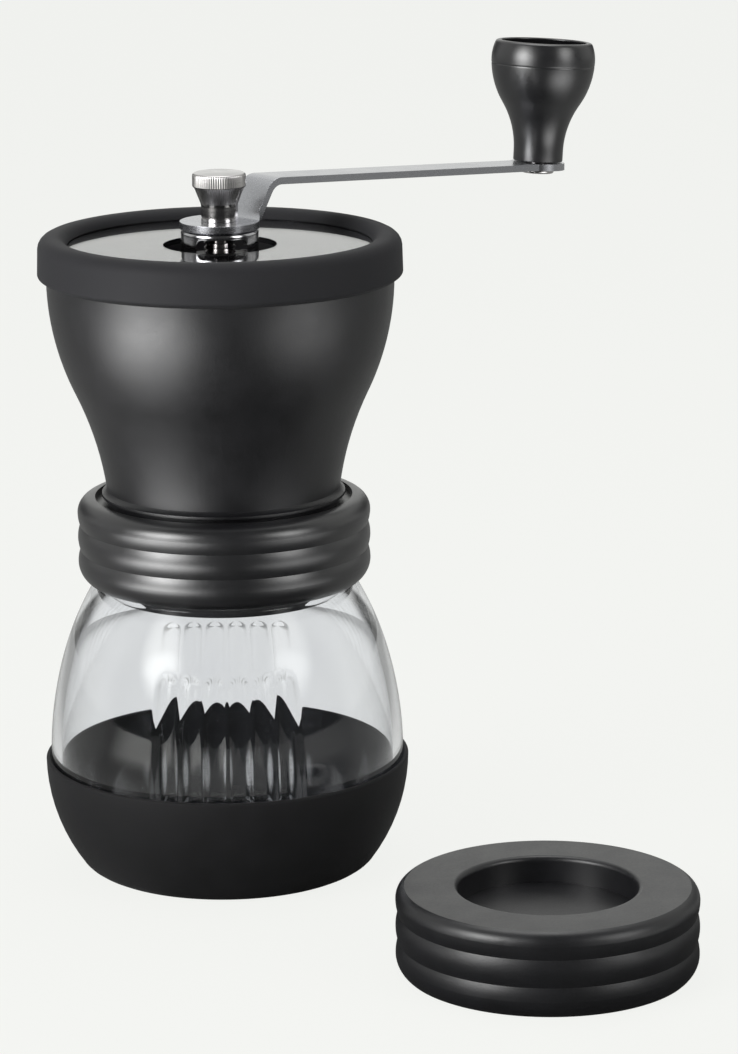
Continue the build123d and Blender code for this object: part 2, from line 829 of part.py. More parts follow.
# Crank arm: a bent strip, cut to a plan with a round eye and a round end
with BuildPart() as crank_arm:
    with BuildSketch(arm_side_plane):
        with BuildLine():
            FilletPolyline(
                (-arm_eye_radius, arm_middle),
                (arm_foot_reach, arm_middle),
                (arm_bend_reach, arm_middle + arm_bend_rise),
                (crank_length + arm_trim, arm_end_middle - arm_trim * tan(arm_lean)),
                radius=arm_bend_round,
            )
        trace(line_width=arm_thickness)
    extrude(amount=arm_eye_radius, both=True)
    with BuildSketch(arm_plan_plane):
        Circle(arm_eye_radius)
        with Locations((crank_length / 2, 0)):
            Rectangle(crank_length, arm_width)
        with Locations((crank_length, 0)):
            Circle(arm_end_radius)
    extrude(amount=thumb_top, mode=Mode.INTERSECT)
    with BuildSketch(Plane.XY.offset(arm_bottom)):
        add(flatted_hole())
    extrude(amount=arm_thickness, mode=Mode.SUBTRACT)
    with BuildSketch(knob_plane):
        Circle(pin_radius + running_fit)
    extrude(amount=arm_thickness, both=True, mode=Mode.SUBTRACT)

# Thumb nut: plain foot, cone and a knurled head, blind from below
with BuildPart() as thumb_nut:
    head_bottom = thumb_top - thumb_head_height
    with BuildSketch(Plane.XZ) as thumb_section:
        with BuildLine():
            Polyline(
                (0, arm_top),
                (thumb_base_radius, arm_top),
                (thumb_base_radius, arm_top + thumb_base_height),
                (thumb_cone_radius, head_bottom),
                (thumb_head_radius, head_bottom + thumb_edge),
                (thumb_head_radius, thumb_top),
                (0, thumb_top),
                close=True,
            )
        make_face()
        fillet(thumb_section.vertices().group_by(Axis.Y)[-1].sort_by(Axis.X)[-1], thumb_round)
    revolve(axis=Axis.Z)
    with BuildSketch(Plane.XY.offset(head_bottom)):
        with PolarLocations(thumb_head_radius, knurl_count):
            Rectangle(knurl_depth * 2, knurl_depth * 2, rotation=45)
    extrude(amount=thumb_head_height, mode=Mode.SUBTRACT)
    with BuildSketch(Plane.XY.offset(arm_top)):
        Circle(shaft_radius + running_fit)
    extrude(amount=thread_top - arm_top, mode=Mode.SUBTRACT)

# Knob: a hollow cup with a solid neck, turning on a headed pin
with BuildPart() as knob:
    with BuildSketch(knob_side_plane):
        with BuildLine():
            neck_line = Line((knob_base_radius, knob_lift), (knob_base_radius, knob_neck_height))
            flare = TangentArc(neck_line @ 1, (knob_flare_radius, knob_flare_height), tangent=(0, 1))
            belly = TangentArc(flare @ 1, (knob_belly_radius, knob_belly_height), tangent=flare % 1)
            rim = TangentArc(belly @ 1, (knob_rim_radius, knob_height), tangent=(0, 1))
            Polyline(rim @ 1, (0, knob_height), (0, knob_lift), neck_line @ 0)
        make_face()
    revolve(axis=knob_axis)
    offset(amount=-knob_wall, openings=knob.faces().sort_by(knob_axis)[-1])
    with BuildSketch(knob_plane.offset(knob_lift)):
        Circle(knob_base_radius - knob_wall / 2)
    extrude(amount=knob_plug_height - knob_lift)
    with BuildSketch(knob_plane):
        Circle(pin_radius + running_fit)
    extrude(amount=knob_plug_height, mode=Mode.SUBTRACT)

with BuildPart() as knob_pin:
    with BuildSketch(knob_plane.offset(-arm_thickness)):
        Circle(pin_radius)
    extrude(amount=arm_thickness + knob_plug_height + knob_lift)
    with BuildSketch(knob_plane.offset(knob_plug_height + knob_lift)):
        Circle(pin_head_radius)
    extrude(amount=pin_head_height)
    fillet(knob_pin.edges().group_by(knob_axis)[-1], pin_head_height / 2)
    with BuildSketch(knob_plane.offset(-arm_thickness)):
        Circle(pin_tail_radius)
    extrude(amount=-pin_tail_height)
    fillet(knob_pin.edges().group_by(knob_axis)[0], pin_tail_height / 2)

# Hopper lid: the soft ring grips the plate in a groove and hangs over the hopper's rim
ring_inside = hopper_rim_radius + lid_gap
ring_outside = ring_inside + lid_skirt
ring_seat = hopper_top + lid_seat_gap
ring_bottom = ring_seat - lid_skirt_depth
plate_under = ring_seat + lid_lip
plate_over = plate_under + lid_plate_thickness
bead_top = plate_over + lid_bead
groove_radius = lid_view_radius + lid_groove
with BuildPart() as lid_ring:
    with BuildSketch(Plane.XZ) as lid_section:
        with BuildLine():
            Polyline(
                (ring_inside, ring_bottom),
                (ring_inside + lid_skirt_edge, ring_bottom),
                (ring_outside, ring_bottom + lid_skirt_slope),
                (ring_outside - lid_taper, bead_top),
                (lid_view_radius + lid_groove / 2, bead_top),
                (lid_view_radius, plate_over),
                (groove_radius, plate_over),
                (groove_radius, plate_under),
                (lid_view_radius, plate_under),
                (lid_view_radius, ring_seat),
                (ring_inside, ring_seat),
                close=True,
            )
        make_face()
        fillet(lid_section.vertices().group_by(Axis.Y)[-1], lid_bead_round)
    revolve(axis=Axis.Z)

with BuildPart() as lid_plate:
    with BuildSketch(Plane.XY.offset(plate_under + lid_plate_fit / 2)):
        Circle(groove_radius - lid_plate_fit)
        Circle(lid_hole_radius, mode=Mode.SUBTRACT)
    extrude(amount=lid_plate_thickness - lid_plate_fit)

# Storage lid: ribbed like the collar, with a round recess in its top
cap_crests = [cap_bottom_drop + cap_rib_pitch * (rib_count - 1 - rib) for rib in range(rib_count)]
cap_top = cap_crests[0] + cap_top_rise
cap_recess_floor = cap_top - cap_recess_depth
cap_ceiling = cap_top - cap_roof
cap_plane = Plane((cap_center_x, cap_center_y, 0), x_dir=(1, 0, 0), z_dir=(0, -1, 0))
cap_axis = Axis((cap_center_x, cap_center_y, 0), (0, 0, 1))
with BuildPart() as storage_lid:
    with BuildSketch(cap_plane):
        with BuildLine():
            ribbed_side(
                cap_radius,
                cap_radius - rib_depth,
                cap_rib_pitch,
                cap_crests,
                (cap_top_radius, cap_top),
                (cap_bottom_radius, 0),
            )
            Polyline(
                (cap_top_radius, cap_top),
                (cap_recess_radius, cap_top),
                (cap_recess_radius, cap_recess_floor),
                (0, cap_recess_floor),
                (0, cap_recess_floor - cap_recess_wall),
                (cap_recess_radius + cap_recess_wall, cap_recess_floor - cap_recess_wall),
                (cap_recess_radius + cap_recess_wall, cap_ceiling),
                (collar_bore, cap_ceiling),
                (collar_bore, 0),
                (cap_bottom_radius, 0),
            )
        make_face()
    revolve(axis=cap_axis)
    cap_mouth_edge = storage_lid.edges().group_by(Axis.Z)[-1].sort_by(SortBy.LENGTH)[0]
    fillet(cap_mouth_edge, cap_recess_round)
    with Locations((cap_center_x, cap_center_y, 0)):
        add(thread_ridge(collar_bore, -thread_depth, cap_thread_start))

with BuildPart() as storage_lid_seal:
    with BuildSketch(Plane.XY.offset(cap_ceiling - cap_seal_thickness)):
        with Locations((cap_center_x, cap_center_y)):
            Circle(collar_bore - gasket_gap)
            Circle(neck_radius - jar_wall + gasket_gap, mode=Mode.SUBTRACT)
    extrude(amount=cap_seal_thickness)

pieces = {
    "glass_jar": glass_jar,
    "silicone_base": silicone_base,
    "jar_gasket": jar_gasket,
    "collar": collar,
    "burr_housing": burr_housing,
    "hopper": hopper,
    "collar_screws": collar_screws,
    "ring_burr": ring_burr,
    "bearing_plate": bearing_plate,
    "plate_screws": plate_screws,
    "lower_bush": lower_bush,
    "upper_bush": upper_bush,
    "thrust_washer": thrust_washer,
    "cone_burr": cone_burr,
    "spring_washer": spring_washer,
    "burr_nut": burr_nut,
    "burr_spring": burr_spring,
    "shaft": shaft,
    "adjusting_nut": adjusting_nut,
    "nut_stopper": nut_stopper,
    "crank_arm": crank_arm,
    "thumb_nut": thumb_nut,
    "knob": knob,
    "knob_pin": knob_pin,
    "lid_ring": lid_ring,
    "lid_plate": lid_plate,
    "storage_lid": storage_lid,
    "storage_lid_seal": storage_lid_seal,
}
os.makedirs("parts", exist_ok=True)
for name, piece in pieces.items():
    piece.part.label = name
    export_step(piece.part, f"parts/{name}.step")
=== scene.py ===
"""Hand crank coffee grinder in a plain white studio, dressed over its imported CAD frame.

Sizes in the classes are millimetres in the CAD frame: the grinder's axis is Z, the front is
-Y and the table is at height 0. Meshes are made in metres.
"""
import functools
import logging
import math
from dataclasses import dataclass
from enum import Enum
from typing import Any, Optional

import bmesh
import bpy
from mathutils import Matrix, Vector


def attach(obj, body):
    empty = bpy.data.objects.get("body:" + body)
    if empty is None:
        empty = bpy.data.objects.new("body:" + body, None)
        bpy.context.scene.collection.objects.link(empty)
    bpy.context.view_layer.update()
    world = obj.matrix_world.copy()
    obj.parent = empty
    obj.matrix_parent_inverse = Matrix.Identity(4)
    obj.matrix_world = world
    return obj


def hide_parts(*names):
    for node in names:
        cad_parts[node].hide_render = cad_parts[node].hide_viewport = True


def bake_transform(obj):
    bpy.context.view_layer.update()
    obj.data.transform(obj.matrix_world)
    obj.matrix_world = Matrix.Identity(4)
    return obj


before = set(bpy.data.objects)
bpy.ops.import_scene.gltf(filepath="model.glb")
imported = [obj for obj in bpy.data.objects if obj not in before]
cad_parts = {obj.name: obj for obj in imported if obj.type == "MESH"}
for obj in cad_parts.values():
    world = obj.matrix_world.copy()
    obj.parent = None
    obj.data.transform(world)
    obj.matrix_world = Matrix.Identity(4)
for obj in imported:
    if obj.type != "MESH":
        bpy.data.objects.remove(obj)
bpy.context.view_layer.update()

MM = 0.001
# Corners nearer than this many millimetres are one corner, in new shapes and in CAD copies.
MERGE_GAP = 0.002
CAD_MERGE_GAP = 0.001
# Faces of a CAD copy that bend less than this many degrees are one face.
FLAT_BEND = 0.5
# Steps in a rounded corner of an outline, and in a rounded edge of a CAD copy.
CORNER_STEPS = 5
EDGE_STEPS = 3
# Share of a flat seal's thickness that its corners are rounded by.
SEAL_ROUND = 0.25
# The two noises in every finish, and the part of their sum that its tones are spread over.
GRAIN_NOISE = {"Scale": 1.0, "Detail": 3.0, "Roughness": 0.6}
BLOTCH_NOISE = {"Detail": 4.0, "Roughness": 0.55}
MOTTLE_RANGE = (0.7, 1.3)
LOG = logging.getLogger("grinder")


class Body(Enum):
    """The moving bodies that pieces ride on."""

    JAR = "jar"
    GASKET = "gasket"
    HEAD = "head"
    LID = "lid"
    ADJUSTER = "adjuster"
    DRIVE = "drive"
    THUMB_NUT = "thumb_nut"
    KNOB = "knob"
    STORAGE_LID = "storage_lid"


class Slot(Enum):
    """The record's material slots; no piece in this script takes its finish from them."""

    GLASS = "glass"
    SILICONE = "silicone"
    SEAL = "seal_rubber"
    PLASTIC = "black_plastic"
    LID_RUBBER = "lid_rubber"
    STEEL = "steel"


def linear(code: str) -> tuple[float, float, float, float]:
    """Turn an sRGB hex colour into linear values.

    Args:
        code: Six hex digits after a hash sign.

    Returns:
        Linear red, green, blue and an alpha of 1.
    """
    parts = [int(code[i : i + 2], 16) / 255 for i in (1, 3, 5)]
    red, green, blue = (p / 12.92 if p <= 0.04045 else ((p + 0.055) / 1.055) ** 2.4 for p in parts)
    return red, green, blue, 1.0


def add_node(
    tree: bpy.types.NodeTree, kind: str, inputs: Optional[dict[Any, Any]] = None, **settings: Any
) -> bpy.types.Node:
    """Add a node, with its settings, and link or set its inputs.

    Args:
        tree: The node tree that gets the node.
        kind: The node's type name.
        inputs: Socket name or index, to a value or an output socket.
        settings: Attributes of the node.

    Returns:
        The new node.
    """
    node = tree.nodes.new(kind)
    for key, value in settings.items():
        setattr(node, key, value)
    for key, value in (inputs or {}).items():
        if isinstance(value, bpy.types.NodeSocket):
            tree.links.new(value, node.inputs[key])
        else:
            node.inputs[key].default_value = value
    return node


@dataclass(frozen=True)
class Finish:
    """A surface that was made in one way. Grain, relief and blotch sizes are in millimetres."""

    name: str
    colour: str
    shade: str
    roughness: float
    spread: float
    grain: tuple[float, float, float]
    relief: float
    blotch: float
    turn: float = 0.0
    metallic: float = 0.0
    ior: float = 1.5
    specular: float = 0.5
    transmission: float = 0.0
    sheen: float = 0.0

    @functools.cache
    def material(self) -> bpy.types.Material:
        """Build the node material of this finish once.

        Returns:
            The material.
        """
        made = bpy.data.materials.new(self.name)
        made.use_nodes = True
        tree = made.node_tree
        tree.nodes.clear()
        place = add_node(tree, "ShaderNodeTexCoord").outputs["Object"]
        along = add_node(
            tree,
            "ShaderNodeMapping",
            {
                "Vector": place,
                "Rotation": (0.0, 0.0, math.radians(self.turn)),
                "Scale": tuple(size * MM for size in self.grain),
            },
            vector_type="TEXTURE",
        ).outputs["Vector"]
        grain = add_node(
            tree, "ShaderNodeTexNoise", {"Vector": along, **GRAIN_NOISE}
        ).outputs["Fac"]
        blotch = add_node(
            tree,
            "ShaderNodeTexNoise",
            {"Vector": place, "Scale": 1.0 / (self.blotch * MM), **BLOTCH_NOISE},
        ).outputs["Fac"]
        mottle = add_node(
            tree, "ShaderNodeMath", {0: grain, 1: blotch}, operation="ADD"
        ).outputs[0]
        share = add_node(
            tree,
            "ShaderNodeMapRange",
            {"Value": mottle, "From Min": MOTTLE_RANGE[0], "From Max": MOTTLE_RANGE[1]},
        ).outputs["Result"]
        tone = add_node(
            tree,
            "ShaderNodeMix",
            {"Factor": share, "A": linear(self.colour), "B": linear(self.shade)},
            data_type="RGBA",
        ).outputs[2]
        rough = add_node(
            tree,
            "ShaderNodeMapRange",
            {
                "Value": share,
                "To Min": max(self.roughness - self.spread, 0.0),
                "To Max": self.roughness + self.spread,
            },
        ).outputs["Result"]
        bump = add_node(
            tree,
            "ShaderNodeBump",
            {"Height": grain, "Strength": 1.0, "Distance": self.relief * MM},
        ).outputs["Normal"]
        shader = add_node(
            tree,
            "ShaderNodeBsdfPrincipled",
            {
                "Base Color": tone,
                "Roughness": rough,
                "Normal": bump,
                "Metallic": self.metallic,
                "IOR": self.ior,
                "Specular IOR Level": self.specular,
                "Transmission Weight": self.transmission,
                "Sheen Weight": self.sheen,
            },
        ).outputs["BSDF"]
        if self.transmission:  # a clear piece lets light through to what is behind it
            dark = add_node(tree, "ShaderNodeLightPath").outputs["Is Shadow Ray"]
            tint = {"Color": linear(self.colour)}
            clear = add_node(tree, "ShaderNodeBsdfTransparent", tint).outputs["BSDF"]
            mixed = {0: dark, 1: shader, 2: clear}
            shader = add_node(tree, "ShaderNodeMixShader", mixed).outputs[0]
        add_node(tree, "ShaderNodeOutputMaterial", {"Surface": shader})
        return made


# Injection moulded ABS: the spark eroded mould leaves a fine satin grain that breaks up highlights.
# The real grain is about 0.1 mm, and is drawn coarser here so that it shows.
SATIN_ABS = Finish(
    "satin_black_abs", "#0f0f11", "#151518", 0.38, 0.05, (0.5, 0.5, 0.5), 0.018, 9.0
)
# The same ABS from a smoother mould, for the collar and the knob: its highlights are narrower
# and brighter.
FINE_ABS = Finish(
    "fine_black_abs", "#0f0f11", "#151518", 0.32, 0.04, (0.5, 0.5, 0.5), 0.006, 9.0, specular=0.85
)
# Liquid moulded silicone: dead matt and very dark, with a little dust in its skin.
BOOT_SILICONE = Finish(
    "matt_black_silicone", "#101011", "#151517", 0.72, 0.05, (0.45, 0.45, 0.45), 0.02, 6.0,
    specular=0.2, sheen=0.02,
)
# Thermoplastic rubber of the lid: softer and greyer than the hopper.
LID_RUBBER = Finish(
    "soft_black_rubber", "#161619", "#1c1c1f", 0.7, 0.05, (0.5, 0.5, 0.5), 0.012, 12.0,
    specular=0.22, sheen=0.02,
)
# Clear soda-lime glass, pressed in a mould: smooth, with a slow ripple and a faint cold tint.
JAR_GLASS = Finish(
    "clear_soda_glass", "#f9fafc", "#f5f6f9", 0.0, 0.0, (30.0, 30.0, 30.0), 0.01, 40.0,
    transmission=1.0,
)
# Clear cast acrylic plate: polished, with faint wiping marks.
LID_ACRYLIC = Finish(
    "clear_acrylic", "#fafafb", "#f3f3f5", 0.012, 0.01, (20.0, 20.0, 20.0), 0.003, 15.0,
    ior=1.49, transmission=1.0,
)
# Rolled stainless strip, brushed along the crank: long fine streaks in the sheen, drawn coarser
# to show.
STRIP_STEEL = Finish(
    "brushed_stainless_strip", "#bdbec2", "#adaeb3", 0.27, 0.05, (14.0, 0.35, 0.35), 0.0004, 10.0,
    turn=41.2, metallic=1.0,
)
# Turned stainless steel: fine rings from the tool, across the axis.
TURNED_STEEL = Finish(
    "turned_stainless_steel", "#c9c7c6", "#b3b1b1", 0.15, 0.05, (9.0, 9.0, 0.3), 0.0015, 5.0,
    metallic=1.0,
)
# Pressed stainless sheet, tumbled bright.
PRESSED_STEEL = Finish(
    "pressed_stainless_sheet", "#c6c6c8", "#b0b0b4", 0.14, 0.05, (1.4, 1.4, 1.4), 0.003, 6.0,
    metallic=1.0,
)
# Black oxide on the small screws: dark grey metal, slightly oily.
BLACK_OXIDE = Finish(
    "black_oxide_steel", "#2a2a2d", "#37373b", 0.38, 0.08, (0.5, 0.5, 0.5), 0.004, 3.0, metallic=1.0
)
# Spring wire, drawn and oiled: its streaks are too fine to see, so only its sheen varies.
SPRING_STEEL = Finish(
    "drawn_spring_wire", "#9a9a9d", "#87878b", 0.28, 0.06, (0.4, 0.4, 0.4), 0.003, 4.0, metallic=1.0
)
# Fired alumina ceramic of the burrs: off white, dry and slightly speckled.
BURR_CERAMIC = Finish(
    "fired_white_ceramic", "#e6e3da", "#d4d0c4", 0.55, 0.08, (0.5, 0.5, 0.5), 0.02, 2.5,
    specular=0.45,
)
# Acetal bushes: waxy, cream white.
BUSH_ACETAL = Finish("cream_acetal", "#d9d6cb", "#cfccc0", 0.38, 0.05, (0.8, 0.8, 0.8), 0.006, 5.0)
# Translucent silicone of the seals: milky, with a soft skin.
SEAL_SILICONE = Finish(
    "milky_seal_silicone", "#cfcfca", "#c4c4bf", 0.5, 0.05, (0.6, 0.6, 0.6), 0.01, 5.0, specular=0.4
)


class Outline:
    """A wire of lines and tangent arcs in the XZ plane, turned about Z into a closed shape."""

    def __init__(self, radius: float, height: float) -> None:
        """Start the outline at a radius and a height."""
        self.mesh = bmesh.new()
        self.first = self.tip = self.mesh.verts.new((radius * MM, 0.0, height * MM))
        self.heading = Vector((0.0, 0.0, 1.0))
        self.rounds: list[tuple[bmesh.types.BMVert, float]] = []

    def line(self, radius: float, height: float, rounded: float = 0.0) -> "Outline":
        """Draw a straight line.

        Args:
            radius: Radius of its end.
            height: Height of its end.
            rounded: How far the corner at its end is rounded back along both sides.

        Returns:
            The outline itself.
        """
        end = self.mesh.verts.new((radius * MM, 0.0, height * MM))
        self.mesh.edges.new((self.tip, end))
        self.heading = (end.co - self.tip.co).normalized()
        self.tip = end
        if rounded:
            self.rounds.append((end, rounded))
        return self

    def arc(
        self,
        radius: float,
        height: float,
        start: Optional[tuple[float, float]] = None,
        end: Optional[tuple[float, float]] = None,
        steps: int = 10,
        rounded: float = 0.0,
    ) -> "Outline":
        """Draw an arc that runs on from the last line, or has a given heading at one end.

        Args:
            radius: Radius of its end.
            height: Height of its end.
            start: Heading at its start, if it doesn't run on.
            end: Heading at its end, if that is what is known.
            steps: Number of straight steps in it.
            rounded: How far the corner at its end is rounded back along both sides.

        Returns:
            The outline itself.
        """
        here = self.tip.co.copy()
        chord = Vector((radius * MM, 0.0, height * MM)) - here
        if start is not None:
            self.heading = Vector((start[0], 0.0, start[1])).normalized()
        if end is not None:
            last = Vector((end[0], 0.0, end[1])).normalized()
            self.heading = -last.reflect(chord.normalized())
        normal = Vector((self.heading.z, 0.0, -self.heading.x))
        reach = chord.dot(normal)
        centre = here + normal * (chord.length_squared / (2.0 * reach))
        sweep = math.copysign(2.0 * self.heading.angle(chord), reach)
        spun = bmesh.ops.spin(
            self.mesh, geom=[self.tip], cent=centre, axis=(0.0, 1.0, 0.0), angle=sweep, steps=steps
        )
        self.tip = next(part for part in spun["geom_last"] if isinstance(part, bmesh.types.BMVert))
        self.heading = Matrix.Rotation(sweep, 3, "Y") @ self.heading
        if rounded:
            self.rounds.append((self.tip, rounded))
        return self

    def inward(self, wall: float) -> tuple[float, float]:
        """Return the point one wall thickness to the left of the tip, in millimetres."""
        point = self.tip.co / MM + wall * Vector((-self.heading.z, 0.0, self.heading.x))
        return point.x, point.z

    def close(self, rounded: float = 0.0) -> "Outline":
        """Join the tip to the start, and round the corner there."""
        self.mesh.edges.new((self.tip, self.first))
        if rounded:
            self.rounds.append((self.first, rounded))
        return self

    def turned(self, steps: int = 160) -> bmesh.types.BMesh:
        """Round the corners and turn the outline about Z.

        Args:
            steps: Number of steps in the full turn.

        Returns:
            The closed shape.
        """
        for corner, rounded in self.rounds:
            bmesh.ops.bevel(
                self.mesh,
                geom=[corner],
                offset=rounded * MM,
                offset_type="OFFSET",
                segments=CORNER_STEPS,
                profile=0.5,
                affect="VERTICES",
                material=-1,
            )
        shape = self.mesh
        bmesh.ops.spin(
            shape,
            geom=[*shape.verts, *shape.edges],
            cent=(0.0, 0.0, 0.0),
            axis=(0.0, 0.0, 1.0),
            angle=math.tau,
            steps=steps,
            use_merge=True,
        )
        bmesh.ops.remove_doubles(shape, verts=shape.verts, dist=MERGE_GAP * MM)
        bmesh.ops.recalc_face_normals(shape, faces=shape.faces)
        return shape


def coiled(loop: bmesh.types.BMesh, turns: float, lead: float, steps: int) -> bmesh.types.BMesh:
    """Wind a closed loop of edges round Z into a helix, and close its ends.

    Args:
        loop: The loop, standing in the XZ plane.
        turns: Number of turns.
        lead: Rise of one turn in millimetres.
        steps: Number of steps in one turn.

    Returns:
        The closed shape.
    """
    count = round(turns * steps)
    bmesh.ops.spin(
        loop,
        geom=[*loop.verts, *loop.edges],
        cent=(0.0, 0.0, 0.0),
        axis=(0.0, 0.0, 1.0),
        dvec=(0.0, 0.0, lead * turns * MM / count),
        angle=math.tau * turns,
        steps=count,
    )
    bmesh.ops.holes_fill(loop, edges=loop.edges)
    bmesh.ops.recalc_face_normals(loop, faces=loop.faces)
    return loop


def softened(node: str, width: float, crease: float = 40.0) -> bmesh.types.BMesh:
    """Copy a CAD node's mesh and round its sharp edges.

    Args:
        node: Name of the CAD node.
        width: Width of the rounding in millimetres.
        crease: Edges that bend more than this many degrees are rounded.

    Returns:
        The rounded shape.
    """
    shape = bmesh.new()
    shape.from_mesh(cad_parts[node].data)
    bmesh.ops.remove_doubles(shape, verts=shape.verts, dist=CAD_MERGE_GAP * MM)
    bmesh.ops.dissolve_limit(
        shape, angle_limit=math.radians(FLAT_BEND), verts=shape.verts, edges=shape.edges
    )
    sharp = [edge for edge in shape.edges if edge.calc_face_angle(0.0) > math.radians(crease)]
    bmesh.ops.bevel(
        shape,
        geom=sharp,
        offset=width * MM,
        offset_type="OFFSET",
        segments=EDGE_STEPS,
        profile=0.5,
        affect="EDGES",
        clamp_overlap=True,
        material=-1,
    )
    return shape


def make_piece(
    name: str,
    shape: bmesh.types.BMesh,
    finish: Finish,
    body: Body,
    replaces: str,
    crease: float = 35.0,
    crosses_to: Optional[tuple[Body, float, float]] = None,
) -> bpy.types.Object:
    """Turn a shape into a piece that rides on a body and stands for a CAD node.

    Args:
        name: Name of the piece.
        shape: Its mesh, in place, which is freed.
        finish: Its finish.
        body: The body it rides on.
        replaces: The CAD node that it stands for.
        crease: Edges that bend more than this many degrees stay sharp.
        crosses_to: Another body and two heights in millimetres, none of which are used: when
        it is given, the piece's place is baked in and it rides on no body.

    Returns:
        The new object.
    """
    for face in shape.faces:
        face.smooth = True
    for edge in shape.edges:
        edge.smooth = edge.calc_face_angle(0.0) < math.radians(crease)
    data = bpy.data.meshes.new(name)
    shape.to_mesh(data)
    shape.free()
    data.materials.append(finish.material())
    piece = bpy.data.objects.new(name, data)
    bpy.context.scene.collection.objects.link(piece)
    if crosses_to is None:
        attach(piece, body.value)
    else:
        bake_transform(piece)
    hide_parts(replaces)
    LOG.info("%s: %d faces on %s", name, len(data.polygons), body.value)
    return piece


def even_light(piece: bpy.types.Object) -> None:
    """Let large flat faces keep flat shading beside their rounded edges."""
    piece.modifiers.new("even_light", "WEIGHTED_NORMAL").keep_sharp = True


def dress(finish: Finish, *nodes: str) -> None:
    """Give CAD nodes their finish."""
    for node in nodes:
        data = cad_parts[node].data
        data.materials.clear()
        data.materials.append(finish.material())
        LOG.info("%s: CAD node in %s", node, finish.name)


@dataclass
class Jar:
    """Glass jar with finger flutes and a screw neck, standing in a silicone boot."""

    boot_radius: float = 46.5
    boot_height: float = 29.0
    boot_foot: float = 35.9
    boot_wall: float = 1.3
    boot_floor: float = 2.0
    boot_edge: float = 3.0
    boot_lip: float = 0.55
    glass_radius: float = 45.15
    glass_foot: float = 35.79
    glass_edge: float = 1.7
    floor_radius: float = 34.5
    glass_inner_edge: float = 2.4
    wall: float = 2.6
    height: float = 90.5
    rim_round: float = 0.9
    shoulder: tuple[float, float] = (40.9, 57.3)
    mouth: tuple[float, float] = (32.6, 75.45)
    neck: tuple[float, float] = (31.6, 78.93)
    neck_bottom: float = 73.0
    neck_round: float = 1.6
    glass_steps: int = 432
    flute_count: int = 6
    flute_step: float = 8.35
    flute_depth: float = 1.0
    flute_top: float = 60.0
    flute_bottom: float = 20.0
    flute_sides: tuple[float, float] = (90.0, 270.0)
    thread_lead: float = 5.0
    thread_turns: float = 1.25
    thread_start: float = 82.85
    thread_embed: float = 0.3
    thread_depth: float = 1.3
    thread_widths: tuple[float, float] = (2.2, 1.1)
    thread_steps: int = 96
    gasket_gap: float = 0.3
    gasket_thickness: float = 1.8
    collar_bore: float = 33.4

    def boot_shape(self) -> bmesh.types.BMesh:
        """Return the boot: a soft cup with a rolled lip."""
        inside = self.boot_radius - self.boot_wall
        return (
            Outline(0.0, 0.0)
            .line(self.boot_foot, 0.0, self.boot_edge)
            .arc(self.boot_radius, self.boot_height, end=(0.0, 1.0), rounded=self.boot_lip)
            .line(inside, self.boot_height, self.boot_lip)
            .arc(self.glass_foot, self.boot_floor, start=(0.0, -1.0))
            .line(0.0, self.boot_floor)
            .turned()
        )

    def glass_shape(self) -> bmesh.types.BMesh:
        """Return the glass: an even wall from foot to rim, then its flutes and its thread."""
        drawn = Outline(0.0, self.boot_floor)
        drawn.line(self.glass_foot, self.boot_floor, self.glass_edge)
        drawn.arc(self.glass_radius, self.boot_height, end=(0.0, 1.0), steps=12)
        side_inside = drawn.inward(self.wall)
        drawn.arc(*self.shoulder, steps=30)
        shoulder_inside, lean = drawn.inward(self.wall), -drawn.heading
        drawn.arc(*self.mouth, steps=16).arc(*self.neck, steps=4)
        neck_inside = self.neck[0] - self.wall
        drawn.line(self.neck[0], self.height, self.rim_round)
        drawn.line(neck_inside, self.height, self.rim_round)
        drawn.line(neck_inside, self.neck_bottom, self.neck_round)
        drawn.arc(*shoulder_inside, end=(lean.x, lean.z), steps=16)
        drawn.arc(*side_inside, steps=20)
        floor = self.boot_floor + self.wall
        drawn.arc(self.floor_radius, floor, start=(0.0, -1.0), rounded=self.glass_inner_edge)
        drawn.line(0.0, floor)
        shape = drawn.turned(self.glass_steps)
        self.press_flutes(shape)
        ridge = self.thread_shape()
        data = bpy.data.meshes.new("thread")
        ridge.to_mesh(data)
        ridge.free()
        shape.from_mesh(data)
        bpy.data.meshes.remove(data)
        return shape

    def press_flutes(self, shape: bmesh.types.BMesh) -> None:
        """Press soft finger flutes with round tops into the outside of the glass."""
        half = math.radians(self.flute_step / 2.0) * self.glass_radius
        for vert in shape.verts:
            place = vert.co / MM
            radius = math.hypot(place.x, place.y)
            outside = vert.normal.dot((place.x, place.y, 0.0)) >= 0.0
            if not (outside and self.flute_bottom < place.z < self.flute_top):
                continue
            turn = math.degrees(math.atan2(place.y, place.x)) % 360.0
            across = min(abs(turn - side) for side in self.flute_sides) / self.flute_step
            if across > self.flute_count / 2.0:
                continue
            off = (across % 1.0 - 0.5) * 2.0 * half
            rise = max(place.z - (self.flute_top - half), self.flute_bottom + half - place.z, 0.0)
            share = min(math.hypot(off, rise) / half, 1.0)
            sunk = self.flute_depth * (1.0 - share * share)
            vert.co.xy *= (radius - sunk) / radius

    def thread_shape(self) -> bmesh.types.BMesh:
        """Return the helical ridge of the neck."""
        root, crest = (width / 2.0 for width in self.thread_widths)
        inside, outside = self.neck[0] - self.thread_embed, self.neck[0] + self.thread_depth
        ridge = (
            Outline(inside, self.thread_start - root)
            .line(outside, self.thread_start - crest)
            .line(outside, self.thread_start + crest)
            .line(inside, self.thread_start + root)
            .close()
        )
        return coiled(ridge.mesh, self.thread_turns, self.thread_lead, self.thread_steps)

    def gasket_shape(self) -> bmesh.types.BMesh:
        """Return the flat seal on the jar's rim, with soft corners."""
        inside = self.neck[0] - self.wall + self.gasket_gap
        outside = self.collar_bore - self.gasket_gap
        return flat_ring(inside, outside, self.height, self.gasket_thickness)

